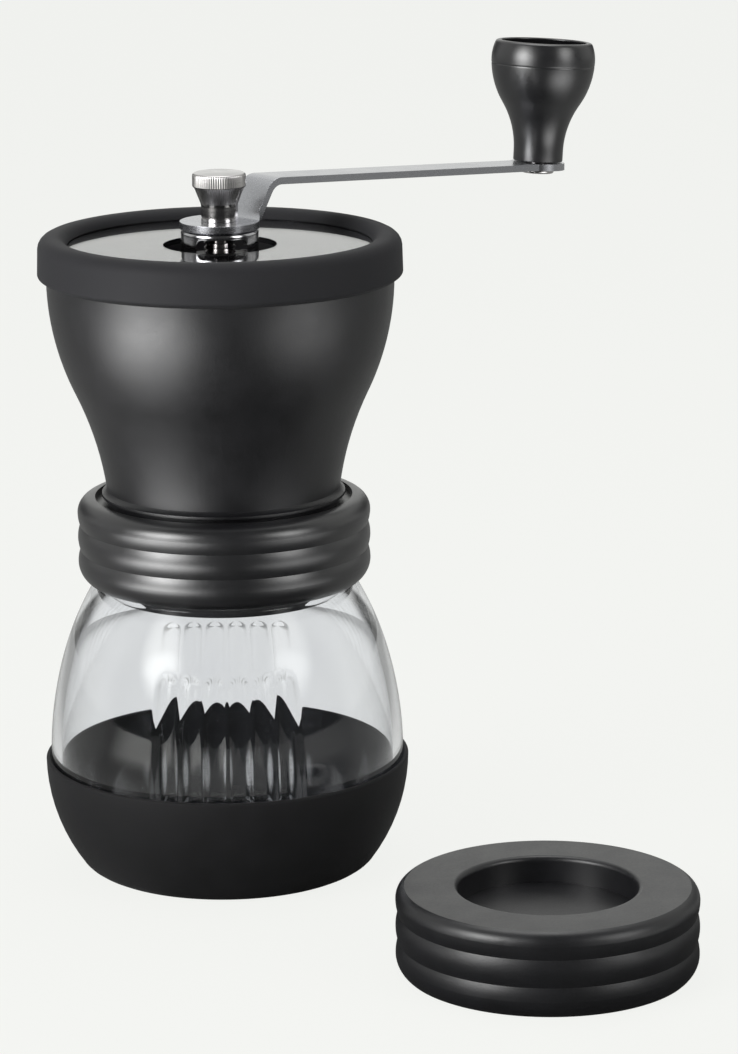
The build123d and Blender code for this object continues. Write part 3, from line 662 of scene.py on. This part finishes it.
    def build(self) -> bpy.types.Object:
        """Make glass, boot and gasket.

        Returns:
            The glass.
        """
        glass, boot, gasket = self.glass_shape(), self.boot_shape(), self.gasket_shape()
        piece = make_piece(
            "pressed_glass_jar", glass, JAR_GLASS, Body.JAR, "glass_jar"
        )
        make_piece("soft_boot", boot, BOOT_SILICONE, Body.JAR, "silicone_base")
        make_piece("rim_gasket", gasket, SEAL_SILICONE, Body.GASKET, "jar_gasket")
        return piece


def flat_ring(inside: float, outside: float, bottom: float, thickness: float) -> bmesh.types.BMesh:
    """Return a flat soft ring on the axis with rounded corners."""
    soft = thickness * SEAL_ROUND
    return (
        Outline(inside, bottom)
        .line(outside, bottom, soft)
        .line(outside, bottom + thickness, soft)
        .line(inside, bottom + thickness, soft)
        .close(soft)
        .turned()
    )


@dataclass
class Head:
    """Collar, hopper, burr housing and the burrs' bearings, which keep their CAD shapes."""

    def dress(self) -> None:
        """Give the head's pieces their finishes."""
        dress(SATIN_ABS, "burr_housing", "hopper", "bearing_plate")
        dress(FINE_ABS, "collar")
        dress(BLACK_OXIDE, "collar_screws", "plate_screws")
        dress(BURR_CERAMIC, "ring_burr")
        dress(BUSH_ACETAL, "lower_bush", "upper_bush")
        dress(PRESSED_STEEL, "thrust_washer")


@dataclass
class HopperLid:
    """Soft ring over the hopper's rim, with a clear plate in its groove."""

    inside: float = 43.9
    outside: float = 45.8
    taper: float = 0.3
    seat: float = 158.25
    bottom: float = 152.75
    skirt_edge: float = 0.5
    skirt_slope: float = 1.0
    skirt_rounds: tuple[float, float] = (0.2, 0.5)
    plate_under: float = 159.45
    plate_over: float = 160.95
    bead_top: float = 163.55
    view: float = 38.1
    groove: float = 40.7
    bead_inner: float = 39.4
    bead_round: float = 3.0
    bead_inner_round: float = 1.85
    lip_round: float = 0.35
    ring_steps: int = 240

    def ring_shape(self) -> bmesh.types.BMesh:
        """Return the ring: a hanging skirt, a groove for the plate and a round bead on top."""
        inner_round, outer_round = self.skirt_rounds
        return (
            Outline(self.inside, self.bottom)
            .line(self.inside + self.skirt_edge, self.bottom, inner_round)
            .line(self.outside, self.bottom + self.skirt_slope, outer_round)
            .line(self.outside - self.taper, self.bead_top, self.bead_round)
            .line(self.bead_inner, self.bead_top, self.bead_inner_round)
            .line(self.view, self.plate_over, self.lip_round)
            .line(self.groove, self.plate_over)
            .line(self.groove, self.plate_under)
            .line(self.view, self.plate_under, self.lip_round)
            .line(self.view, self.seat, self.lip_round)
            .line(self.inside, self.seat)
            .close(inner_round)
            .turned(self.ring_steps)
        )

    def build(self) -> None:
        """Make the ring and dress the plate."""
        ring = self.ring_shape()
        make_piece("soft_lid_ring", ring, LID_RUBBER, Body.LID, "lid_ring")
        dress(LID_ACRYLIC, "lid_plate")


@dataclass
class Drive:
    """Shaft, cone burr, spring, stopper and crank arm."""

    arm_edge: float = 0.3
    stopper_edge: float = 0.22
    spring_wire: float = 1.2
    spring_radius: float = 6.2
    spring_turns: float = 6.0
    spring_bottom: float = 98.2
    spring_top: float = 127.0
    spring_sides: int = 12
    spring_steps: int = 40

    def spring_shape(self) -> bmesh.types.BMesh:
        """Return the burr spring: round wire wound in an open helix."""
        wire = bmesh.new()
        bmesh.ops.create_circle(
            wire, segments=self.spring_sides, radius=self.spring_wire / 2.0 * MM
        )
        bmesh.ops.rotate(wire, verts=wire.verts, matrix=Matrix.Rotation(math.pi / 2.0, 3, "X"))
        start = self.spring_bottom + self.spring_wire / 2.0
        bmesh.ops.translate(wire, verts=wire.verts, vec=(self.spring_radius * MM, 0.0, start * MM))
        lead = (self.spring_top - self.spring_bottom - self.spring_wire) / self.spring_turns
        return coiled(wire, self.spring_turns, lead, self.spring_steps)

    def build(self) -> list[bpy.types.Object]:
        """Make arm, stopper and spring, and dress the rest.

        Returns:
            The bright pieces on top of the hopper.
        """
        strip = softened("crank_arm", self.arm_edge)
        arm = make_piece(
            "bent_crank_arm", strip, STRIP_STEEL, Body.DRIVE, "crank_arm"
        )
        even_light(arm)
        cap = softened("nut_stopper", self.stopper_edge)
        stopper = make_piece(
            "pressed_stopper", cap, PRESSED_STEEL, Body.DRIVE, "nut_stopper"
        )
        even_light(stopper)
        make_piece(
            "coil_spring", self.spring_shape(), SPRING_STEEL, Body.ADJUSTER,
            "burr_spring", crosses_to=(Body.DRIVE, self.spring_top, self.spring_bottom),
        )
        dress(TURNED_STEEL, "shaft", "knob_pin")
        dress(PRESSED_STEEL, "spring_washer", "burr_nut")
        dress(BURR_CERAMIC, "cone_burr")
        dress(SATIN_ABS, "adjusting_nut")
        return [arm, stopper]


@dataclass
class ThumbNut:
    """Nut on top of the shaft: grooved foot, flared neck and a knurled head."""

    bottom: float = 166.85
    bore: float = 4.05
    bore_top: float = 176.55
    foot_radius: float = 4.6
    foot_height: float = 4.2
    foot_round: float = 0.12
    foot_groove: tuple[float, float, float] = (0.85, 0.3, 0.2)
    neck_radius: float = 6.2
    neck_height: float = 4.1
    neck_round: float = 0.5
    head_radius: float = 6.7
    head_height: float = 3.8
    head_edge: float = 0.5
    head_edge_round: float = 0.15
    head_round: float = 0.7
    knurl_count: int = 70
    knurl_depth: float = 0.22
    knurl_fade: float = 0.25
    knurl_tooth: tuple[float, ...] = (0.0, 0.5, 1.0, 0.5)
    crease: float = 24.0

    def shape(self) -> bmesh.types.BMesh:
        """Return the nut, turned, with its teeth pressed in."""
        rise, width, depth = self.foot_groove
        groove = self.bottom + rise
        neck_bottom = self.bottom + self.foot_height
        head_bottom = neck_bottom + self.neck_height
        top = head_bottom + self.head_height
        steps = self.knurl_count * len(self.knurl_tooth)
        nut = (
            Outline(0.0, self.bore_top)
            .line(self.bore, self.bore_top)
            .line(self.bore, self.bottom)
            .line(self.foot_radius, self.bottom, self.foot_round)
            .line(self.foot_radius, groove)
            .line(self.foot_radius - depth, groove + width / 2.0)
            .line(self.foot_radius, groove + width)
            .line(self.foot_radius, neck_bottom, self.neck_round)
            .line(self.neck_radius, head_bottom)
            .line(self.head_radius, head_bottom + self.head_edge, self.head_edge_round)
            .line(self.head_radius, top, self.head_round)
            .line(0.0, top)
            .turned(steps)
        )
        for vert in nut.verts:
            place = vert.co / MM
            radius = math.hypot(place.x, place.y)
            share = min(max((radius - self.head_radius) / self.knurl_fade + 1.0, 0.0), 1.0)
            step = round(math.atan2(place.y, place.x) / math.tau * steps) % len(self.knurl_tooth)
            sunk = self.knurl_depth * share * self.knurl_tooth[step]
            if sunk:
                vert.co.xy *= (radius - sunk) / radius
        return nut

    def build(self) -> bpy.types.Object:
        """Make the nut and return it."""
        nut = self.shape()
        return make_piece(
            "knurled_nut", nut, TURNED_STEEL, Body.THUMB_NUT, "thumb_nut", self.crease
        )


@dataclass
class Knob:
    """Hollow knob on the end of the crank, with the parting line of its mould."""

    foot: tuple[float, float, float] = (85.22359, 74.60761, 169.29752)
    axis: tuple[float, float, float] = (0.05580438, 0.04885304, 0.99724583)
    lift: float = 0.3
    bore: float = 3.05
    base_radius: float = 6.6
    base_round: float = 0.35
    neck_height: float = 3.0
    flare: tuple[float, float] = (10.3, 15.6)
    belly: tuple[float, float] = (13.8, 27.4)
    rim: tuple[float, float] = (12.7, 32.2)
    rim_round: float = 0.6
    wall: float = 1.6
    plug_top: float = 9.0
    plug_radius: float = 5.73
    parting_height: float = 26.0
    parting_width: float = 0.18
    parting_depth: float = 0.07

    def shape(self) -> bmesh.types.BMesh:
        """Return the knob, turned on its own axis and then set on the arm's end."""
        drawn = Outline(self.bore, self.lift)
        drawn.line(self.base_radius, self.lift, self.base_round)
        drawn.line(self.base_radius, self.neck_height)
        drawn.arc(*self.flare, start=(0.0, 1.0), steps=14)
        flare_inside = drawn.inward(self.wall)
        drawn.arc(*self.belly, steps=14)
        belly_inside = (self.belly[0] - self.wall, self.belly[1])
        drawn.arc(*self.rim, start=(0.0, 1.0), steps=6, rounded=self.rim_round)
        drawn.line(self.rim[0] - self.wall, self.rim[1], self.rim_round)
        drawn.arc(*belly_inside, end=(0.0, -1.0), steps=6)
        drawn.arc(*flare_inside, start=(0.0, -1.0), steps=12)
        drawn.arc(self.plug_radius, self.plug_top, steps=6)
        drawn.line(self.bore, self.plug_top).close()
        shape = drawn.turned()
        for step in (-1.0, 0.0, 1.0):
            height = (self.parting_height + step * self.parting_width) * MM
            bmesh.ops.bisect_plane(
                shape,
                geom=[*shape.verts, *shape.edges, *shape.faces],
                plane_co=(0.0, 0.0, height),
                plane_no=(0.0, 0.0, 1.0),
            )
        for vert in shape.verts:
            radius = vert.co.xy.length
            off_seam = abs(vert.co.z / MM - self.parting_height)
            if off_seam < self.parting_width / 2.0 and radius / MM > self.flare[0]:
                vert.co.xy *= (radius - self.parting_depth * MM) / radius
        turn = Vector((0.0, 0.0, 1.0)).rotation_difference(Vector(self.axis)).to_matrix()
        bmesh.ops.rotate(shape, verts=shape.verts, matrix=turn)
        bmesh.ops.translate(shape, verts=shape.verts, vec=Vector(self.foot) * MM)
        return shape

    def build(self) -> None:
        """Make the knob."""
        make_piece("hollow_knob", self.shape(), FINE_ABS, Body.KNOB, "knob")


@dataclass
class StorageLid:
    """Loose ribbed lid that lies in front of the grinder, with a soft seal inside."""

    centre: tuple[float, float] = (75.6, -88.2)
    ceiling: float = 18.1
    seal_thickness: float = 1.6
    seal_inside: float = 29.3
    seal_outside: float = 33.1

    def build(self) -> None:
        """Make the seal and dress the lid."""
        bottom = self.ceiling - self.seal_thickness
        seal = flat_ring(self.seal_inside, self.seal_outside, bottom, self.seal_thickness)
        bmesh.ops.translate(seal, verts=seal.verts, vec=(*(c * MM for c in self.centre), 0.0))
        make_piece("lid_seal", seal, SEAL_SILICONE, Body.STORAGE_LID, "storage_lid_seal")
        dress(SATIN_ABS, "storage_lid")


@dataclass(frozen=True)
class SoftBox:
    """A lamp that hangs in the studio: metres, and watts before its edge is softened."""

    name: str
    place: tuple[float, float, float]
    size: tuple[float, float]
    power: float


@dataclass(frozen=True)
class Card:
    """A bright card on the table: degrees to the right of the camera's side, metres and watts."""

    name: str
    azimuth: float
    reach: float
    size: float
    power: float


@dataclass(frozen=True)
class GlowSector:
    """A sector of painted glow on the table, seen only in sheen, standing for lamp light.

    Its middle is in degrees to the right of the camera's side, its edge is the cosines of the
    angle from there where it begins and is full, and its levels are near the grinder and far off.
    """

    azimuth: float
    edge: tuple[float, float]
    levels: tuple[float, float]


@dataclass
class Studio:
    """White table and backdrop, three soft boxes, two bright cards and the camera."""

    white: str = "#f3f4f1"
    paper: str = "#dcdddb"
    table_size: float = 4.0
    table_drop: float = 0.05
    paper_glow: float = 1.012
    shadow_share: float = 0.06
    ambient: float = 0.5
    camera_side: float = 0.06
    flag: float = 0.10
    room_side: float = 0.7
    room_high: float = 0.8
    backdrop_edge: tuple[float, float] = (0.22, 0.34)
    side_edge: tuple[float, float] = (0.62, 0.8)
    high_edge: tuple[float, float] = (0.2, 0.4)
    depth_edge: tuple[float, float] = (-0.2, 0.1)
    glints: tuple[float, float] = (5.0, 3.0)
    glint_at: tuple[float, float, float] = (0.71, -0.55, 0.44)
    glint_edge: tuple[float, float] = (0.95, 1.0)
    # Painted shade: the table's level in sheen, and its darker sides seen through clear pieces.
    painted_table_dark: float = 0.04
    table_edge: float = 0.4
    through_edge: tuple[float, float] = (0.06, 0.19)
    # Painted glow on the table, seen only in sheen: bright sectors that stand for pools of lamp
    # light.
    glow_sectors: tuple[GlowSector, ...] = (
        GlowSector(-50.0, (0.86, 0.995), (0.4, 2.6)),
        GlowSector(54.0, (0.86, 0.995), (0.0, 0.55)),
        GlowSector(180.0, (-0.4, 0.0), (0.35, 0.35)),
    )
    glow_reach: tuple[float, float] = (0.21, 0.38)
    aim: tuple[float, float, float] = (0.0, 0.0, 0.10)
    boxes: tuple[SoftBox, ...] = (
        SoftBox("soft_box_left", (-0.72, -0.60, 0.38), (0.9, 0.8), 36.0),
        SoftBox("soft_box_right", (0.76, -0.55, 0.40), (0.6, 0.8), 8.0),
        SoftBox("soft_box_top", (0.0, 0.15, 1.05), (1.2, 1.0), 18.0),
    )
    cards: tuple[Card, ...] = (
        Card("card_left", -50.0, 0.45, 0.60, 18.0),
        Card("card_right", 54.0, 0.50, 0.60, 6.0),
    )
    card_height: float = 0.002
    eye: tuple[float, float, float] = (0.0, -1037.46, 338.73)
    pitch: float = 13.6
    yaw: float = 2.03
    roll: float = -0.4
    focal_px: float = 4200.0
    frame_px: float = 1054.0
    sensor: float = 36.0
    clip: tuple[float, float] = (0.01, 20.0)

    def spare(self, lamps: list[bpy.types.Object], *pieces: bpy.types.Object) -> None:
        """Keep lamps off some pieces, as flags do.

        Args:
            lamps: The lamps.
            pieces: The pieces that they spare.
        """
        group = bpy.data.collections.new("spared")
        for piece in pieces:
            group.objects.link(piece)
        for entry in group.collection_objects:
            entry.light_linking.link_state = "EXCLUDE"
        for lamp in lamps:
            lamp.light_linking.receiver_collection = group

    def seen(self, tree: bpy.types.NodeTree) -> bpy.types.NodeSocket:
        """Return a socket that is 1 for rays that a mirror or a clear piece sends."""
        path = add_node(tree, "ShaderNodeLightPath").outputs
        return add_node(
            tree,
            "ShaderNodeMath",
            {0: path["Is Glossy Ray"], 1: path["Is Transmission Ray"]},
            operation="MAXIMUM",
        ).outputs[0]

    def paint_glow_sector(
        self, tree: bpy.types.NodeTree, place: bpy.types.NodeSocket, sector: GlowSector
    ) -> bpy.types.NodeSocket:
        """Add a soft edged sector of painted glow round the grinder, which only sheen shows.

        Args:
            tree: The node tree that gets the nodes.
            place: Place on the table.
            sector: The sector.

        Returns:
            The level's socket.
        """
        azimuth = math.radians(sector.azimuth)
        middle = (math.sin(azimuth), -math.cos(azimuth), 0.0)
        around = add_node(
            tree, "ShaderNodeVectorMath", {0: place}, operation="NORMALIZE"
        ).outputs[0]
        turn = add_node(
            tree, "ShaderNodeVectorMath", {0: around, 1: middle}, operation="DOT_PRODUCT"
        ).outputs[1]
        reach = add_node(tree, "ShaderNodeVectorMath", {0: place}, operation="LENGTH").outputs[1]
        inside, level = (
            add_node(
                tree,
                "ShaderNodeMapRange",
                {"Value": at, "From Min": low, "From Max": full, "To Min": first, "To Max": last},
                interpolation_type="SMOOTHSTEP",
            ).outputs["Result"]
            for at, (low, full), (first, last) in (
                (turn, sector.edge, (0.0, 1.0)),
                (reach, self.glow_reach, sector.levels),
            )
        )
        return add_node(
            tree, "ShaderNodeMath", {0: inside, 1: level}, operation="MULTIPLY"
        ).outputs[0]

    def light_world(self) -> None:
        """Make the world white to the eye, and a backdrop between dark flags to mirrors."""
        world = bpy.data.worlds.new("studio")
        bpy.context.scene.world = world
        world.use_nodes = True
        tree = world.node_tree
        tree.nodes.clear()
        direction = add_node(tree, "ShaderNodeTexCoord").outputs["Generated"]
        away = add_node(tree, "ShaderNodeSeparateXYZ", {0: direction}).outputs
        aside = add_node(tree, "ShaderNodeMath", {0: away["X"]}, operation="ABSOLUTE").outputs[0]
        backdrop, beside, high, depth = (
            add_node(
                tree,
                "ShaderNodeMapRange",
                {"Value": at, "From Min": low, "From Max": full, "To Min": first, "To Max": last},
                interpolation_type="SMOOTHSTEP",
            ).outputs["Result"]
            for at, (low, full), first, last in (
                (aside, self.backdrop_edge, 1.0, self.flag),
                (aside, self.side_edge, 0.0, self.room_side),
                (away["Z"], self.high_edge, 0.0, self.room_high),
                (away["Y"], self.depth_edge, 0.0, 1.0),
            )
        )
        behind = backdrop
        for other in (beside, high):
            behind = add_node(
                tree, "ShaderNodeMath", {0: behind, 1: other}, operation="MAXIMUM"
            ).outputs[0]
        room = add_node(
            tree, "ShaderNodeMix", {0: depth, 2: self.camera_side, 3: behind}, data_type="FLOAT"
        ).outputs[0]
        across, along, above = self.glint_at
        for side, glint in zip((-1.0, 1.0), self.glints):
            turn = add_node(
                tree,
                "ShaderNodeVectorMath",
                {0: direction, 1: (side * across, along, above)},
                operation="DOT_PRODUCT",
            ).outputs[1]
            spot = add_node(
                tree,
                "ShaderNodeMapRange",
                {
                    "Value": turn,
                    "From Min": self.glint_edge[0],
                    "From Max": self.glint_edge[1],
                    "To Min": 0.0,
                    "To Max": glint,
                },
                interpolation_type="SMOOTHSTEP",
            ).outputs["Result"]
            room = add_node(tree, "ShaderNodeMath", {0: room, 1: spot}, operation="ADD").outputs[0]
        mirrored = add_node(
            tree, "ShaderNodeMix", {0: self.seen(tree), 2: self.ambient, 3: room}, data_type="FLOAT"
        ).outputs[0]
        eye = add_node(tree, "ShaderNodeLightPath").outputs["Is Camera Ray"]
        level = add_node(
            tree, "ShaderNodeMix", {0: eye, 2: mirrored, 3: 1.0}, data_type="FLOAT"
        ).outputs[0]
        glow = add_node(
            tree, "ShaderNodeBackground", {"Color": linear(self.white), "Strength": level}
        ).outputs[0]
        add_node(tree, "ShaderNodeOutputWorld", {"Surface": glow})

    def lay_table(self) -> None:
        """Lay a wide pale table that keeps a faint shadow and is painted dim in front in sheen."""
        shape = bmesh.new()
        bmesh.ops.create_grid(shape, x_segments=1, y_segments=1, size=self.table_size)
        bmesh.ops.translate(shape, verts=shape.verts, vec=(0.0, 0.0, -self.table_drop * MM))
        data = bpy.data.meshes.new("table")
        shape.to_mesh(data)
        shape.free()
        table = bpy.data.objects.new("table", data)
        bpy.context.scene.collection.objects.link(table)
        made = bpy.data.materials.new("white_studio_paper")
        made.use_nodes = True
        tree = made.node_tree
        tree.nodes.clear()
        place = add_node(tree, "ShaderNodeTexCoord").outputs["Object"]
        # Painted glow: the table's level in sheen, summed from its bright sectors.
        mirrored = 0.0
        for sector in self.glow_sectors:
            lit = self.paint_glow_sector(tree, place, sector)
            mirrored = add_node(
                tree, "ShaderNodeMath", {0: mirrored, 1: lit}, operation="ADD"
            ).outputs[0]
        # Painted shade: the table is dark in sheen wherever no sector glows.
        mirrored = add_node(
            tree, "ShaderNodeMath", {0: mirrored, 1: self.painted_table_dark}, operation="MAXIMUM"
        ).outputs[0]
        # Painted shade: seen through clear pieces the table darkens towards its sides.
        at = add_node(tree, "ShaderNodeSeparateXYZ", {0: place}).outputs
        aside = add_node(tree, "ShaderNodeMath", {0: at["X"]}, operation="ABSOLUTE").outputs[0]
        through = add_node(
            tree,
            "ShaderNodeMapRange",
            {
                "Value": aside,
                "From Min": self.through_edge[0],
                "From Max": self.through_edge[1],
                "To Min": 1.0,
                "To Max": self.table_edge,
            },
            interpolation_type="SMOOTHSTEP",
        ).outputs["Result"]
        path = add_node(tree, "ShaderNodeLightPath").outputs
        level = self.paper_glow
        for ray, shown in (("Is Glossy Ray", mirrored), ("Is Transmission Ray", through)):
            level = add_node(
                tree, "ShaderNodeMix", {0: path[ray], 2: level, 3: shown}, data_type="FLOAT"
            ).outputs[0]
        shown = add_node(
            tree,
            "ShaderNodeMath",
            {0: self.seen(tree), 1: path["Is Camera Ray"]},
            operation="MAXIMUM",
        ).outputs[0]
        share = add_node(
            tree, "ShaderNodeMath", {0: shown, 1: 1.0 - self.shadow_share}, operation="MULTIPLY"
        ).outputs[0]
        paper = add_node(tree, "ShaderNodeBsdfDiffuse", {"Color": linear(self.paper)}).outputs[0]
        glow = add_node(
            tree, "ShaderNodeEmission", {"Color": linear(self.white), "Strength": level}
        ).outputs[0]
        mixed = add_node(tree, "ShaderNodeMixShader", {0: share, 1: paper, 2: glow}).outputs[0]
        add_node(tree, "ShaderNodeOutputMaterial", {"Surface": mixed})
        data.materials.append(made)

    def hang_lamp(
        self,
        name: str,
        place: tuple[float, float, float],
        target: tuple[float, float, float],
        size: tuple[float, float],
        power: float,
        lit: bool = True,
    ) -> bpy.types.Object:
        """Hang one soft box, or lay one card.

        Args:
            name: Name of the lamp.
            place: Where it hangs, in metres.
            target: Where it points, in metres.
            size: Its width and height in metres.
            power: Its power in watts, before its edge is softened.
            lit: Whether it lights dull surfaces too, and not only sheen.

        Returns:
            The lamp.
        """
        data = bpy.data.lights.new(name, "AREA")
        data.shape = "RECTANGLE"
        data.size, data.size_y = size
        data.energy = power
        data.use_nodes = True
        tree = data.node_tree
        tree.nodes.clear()
        across = add_node(
            tree,
            "ShaderNodeMapping",
            {
                "Vector": add_node(tree, "ShaderNodeNewGeometry").outputs["Parametric"],
                "Location": (-1.0, -1.0, 0.0),
                "Scale": (2.0, 2.0, 1.0),
            },
        ).outputs["Vector"]
        fade = add_node(
            tree, "ShaderNodeTexGradient", {"Vector": across}, gradient_type="SPHERICAL"
        ).outputs["Fac"]
        glow = add_node(tree, "ShaderNodeEmission", {"Strength": fade}).outputs[0]
        add_node(tree, "ShaderNodeOutputLight", {"Surface": glow})
        lamp = bpy.data.objects.new(name, data)
        lamp.location = place
        lamp.rotation_euler = (Vector(target) - Vector(place)).to_track_quat("-Z", "Y").to_euler()
        lamp.visible_camera = False
        lamp.visible_diffuse = lit
        bpy.context.scene.collection.objects.link(lamp)
        return lamp

    def lay_card(self, card: Card) -> bpy.types.Object:
        """Lay a bright card on the table that only sheen shows, and return its lamp."""
        turn = math.radians(card.azimuth)
        across, along = card.reach * math.sin(turn), -card.reach * math.cos(turn)
        place, target = (across, along, self.card_height), (across, along, 1.0)
        return self.hang_lamp(
            card.name, place, target, (card.size, card.size), card.power, lit=False
        )

    def set_camera(self) -> None:
        """Put the camera where the photograph was taken from."""
        pitch, yaw, roll = (math.radians(a) for a in (self.pitch, self.yaw, self.roll))
        level = Vector((math.cos(yaw), -math.sin(yaw), 0.0))
        ahead = Vector((math.sin(yaw), math.cos(yaw), 0.0)) * math.cos(pitch)
        ahead.z = -math.sin(pitch)
        above = level.cross(ahead)
        right = level * math.cos(roll) + above * math.sin(roll)
        above = above * math.cos(roll) - level * math.sin(roll)
        data = bpy.data.cameras.new("photo_camera")
        data.sensor_fit = "VERTICAL"
        data.sensor_height = self.sensor
        data.lens = self.focal_px / self.frame_px * self.sensor
        data.clip_start, data.clip_end = self.clip
        camera = bpy.data.objects.new("photo_camera", data)
        turned = Matrix((right, above, -ahead)).transposed().to_4x4()
        camera.matrix_world = Matrix.Translation(Vector(self.eye) * MM) @ turned
        bpy.context.scene.collection.objects.link(camera)
        bpy.context.scene.camera = camera

    def build(self) -> tuple[list[bpy.types.Object], list[bpy.types.Object]]:
        """Set up world, table, lamps, camera and plain colour handling.

        Returns:
            The soft boxes' lamps, and the cards' lamps.
        """
        bpy.context.scene.view_settings.view_transform = "Standard"
        self.light_world()
        self.lay_table()
        boxes = [self.hang_lamp(b.name, b.place, self.aim, b.size, b.power) for b in self.boxes]
        cards = [self.lay_card(card) for card in self.cards]
        self.set_camera()
        return boxes, cards


def main() -> None:
    """Build the studio and every sub-assembly."""
    logging.basicConfig(level=logging.INFO, format="%(message)s")
    studio = Studio()
    lamps, cards = studio.build()
    glass = Jar().build()
    Head().dress()
    HopperLid().build()
    bright = Drive().build()
    bright.append(ThumbNut().build())
    Knob().build()
    StorageLid().build()
    clear = [glass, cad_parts["lid_plate"]]
    studio.spare(lamps, *clear)
    studio.spare(cards, *clear, *bright)


if __name__ == "__main__":
    main()
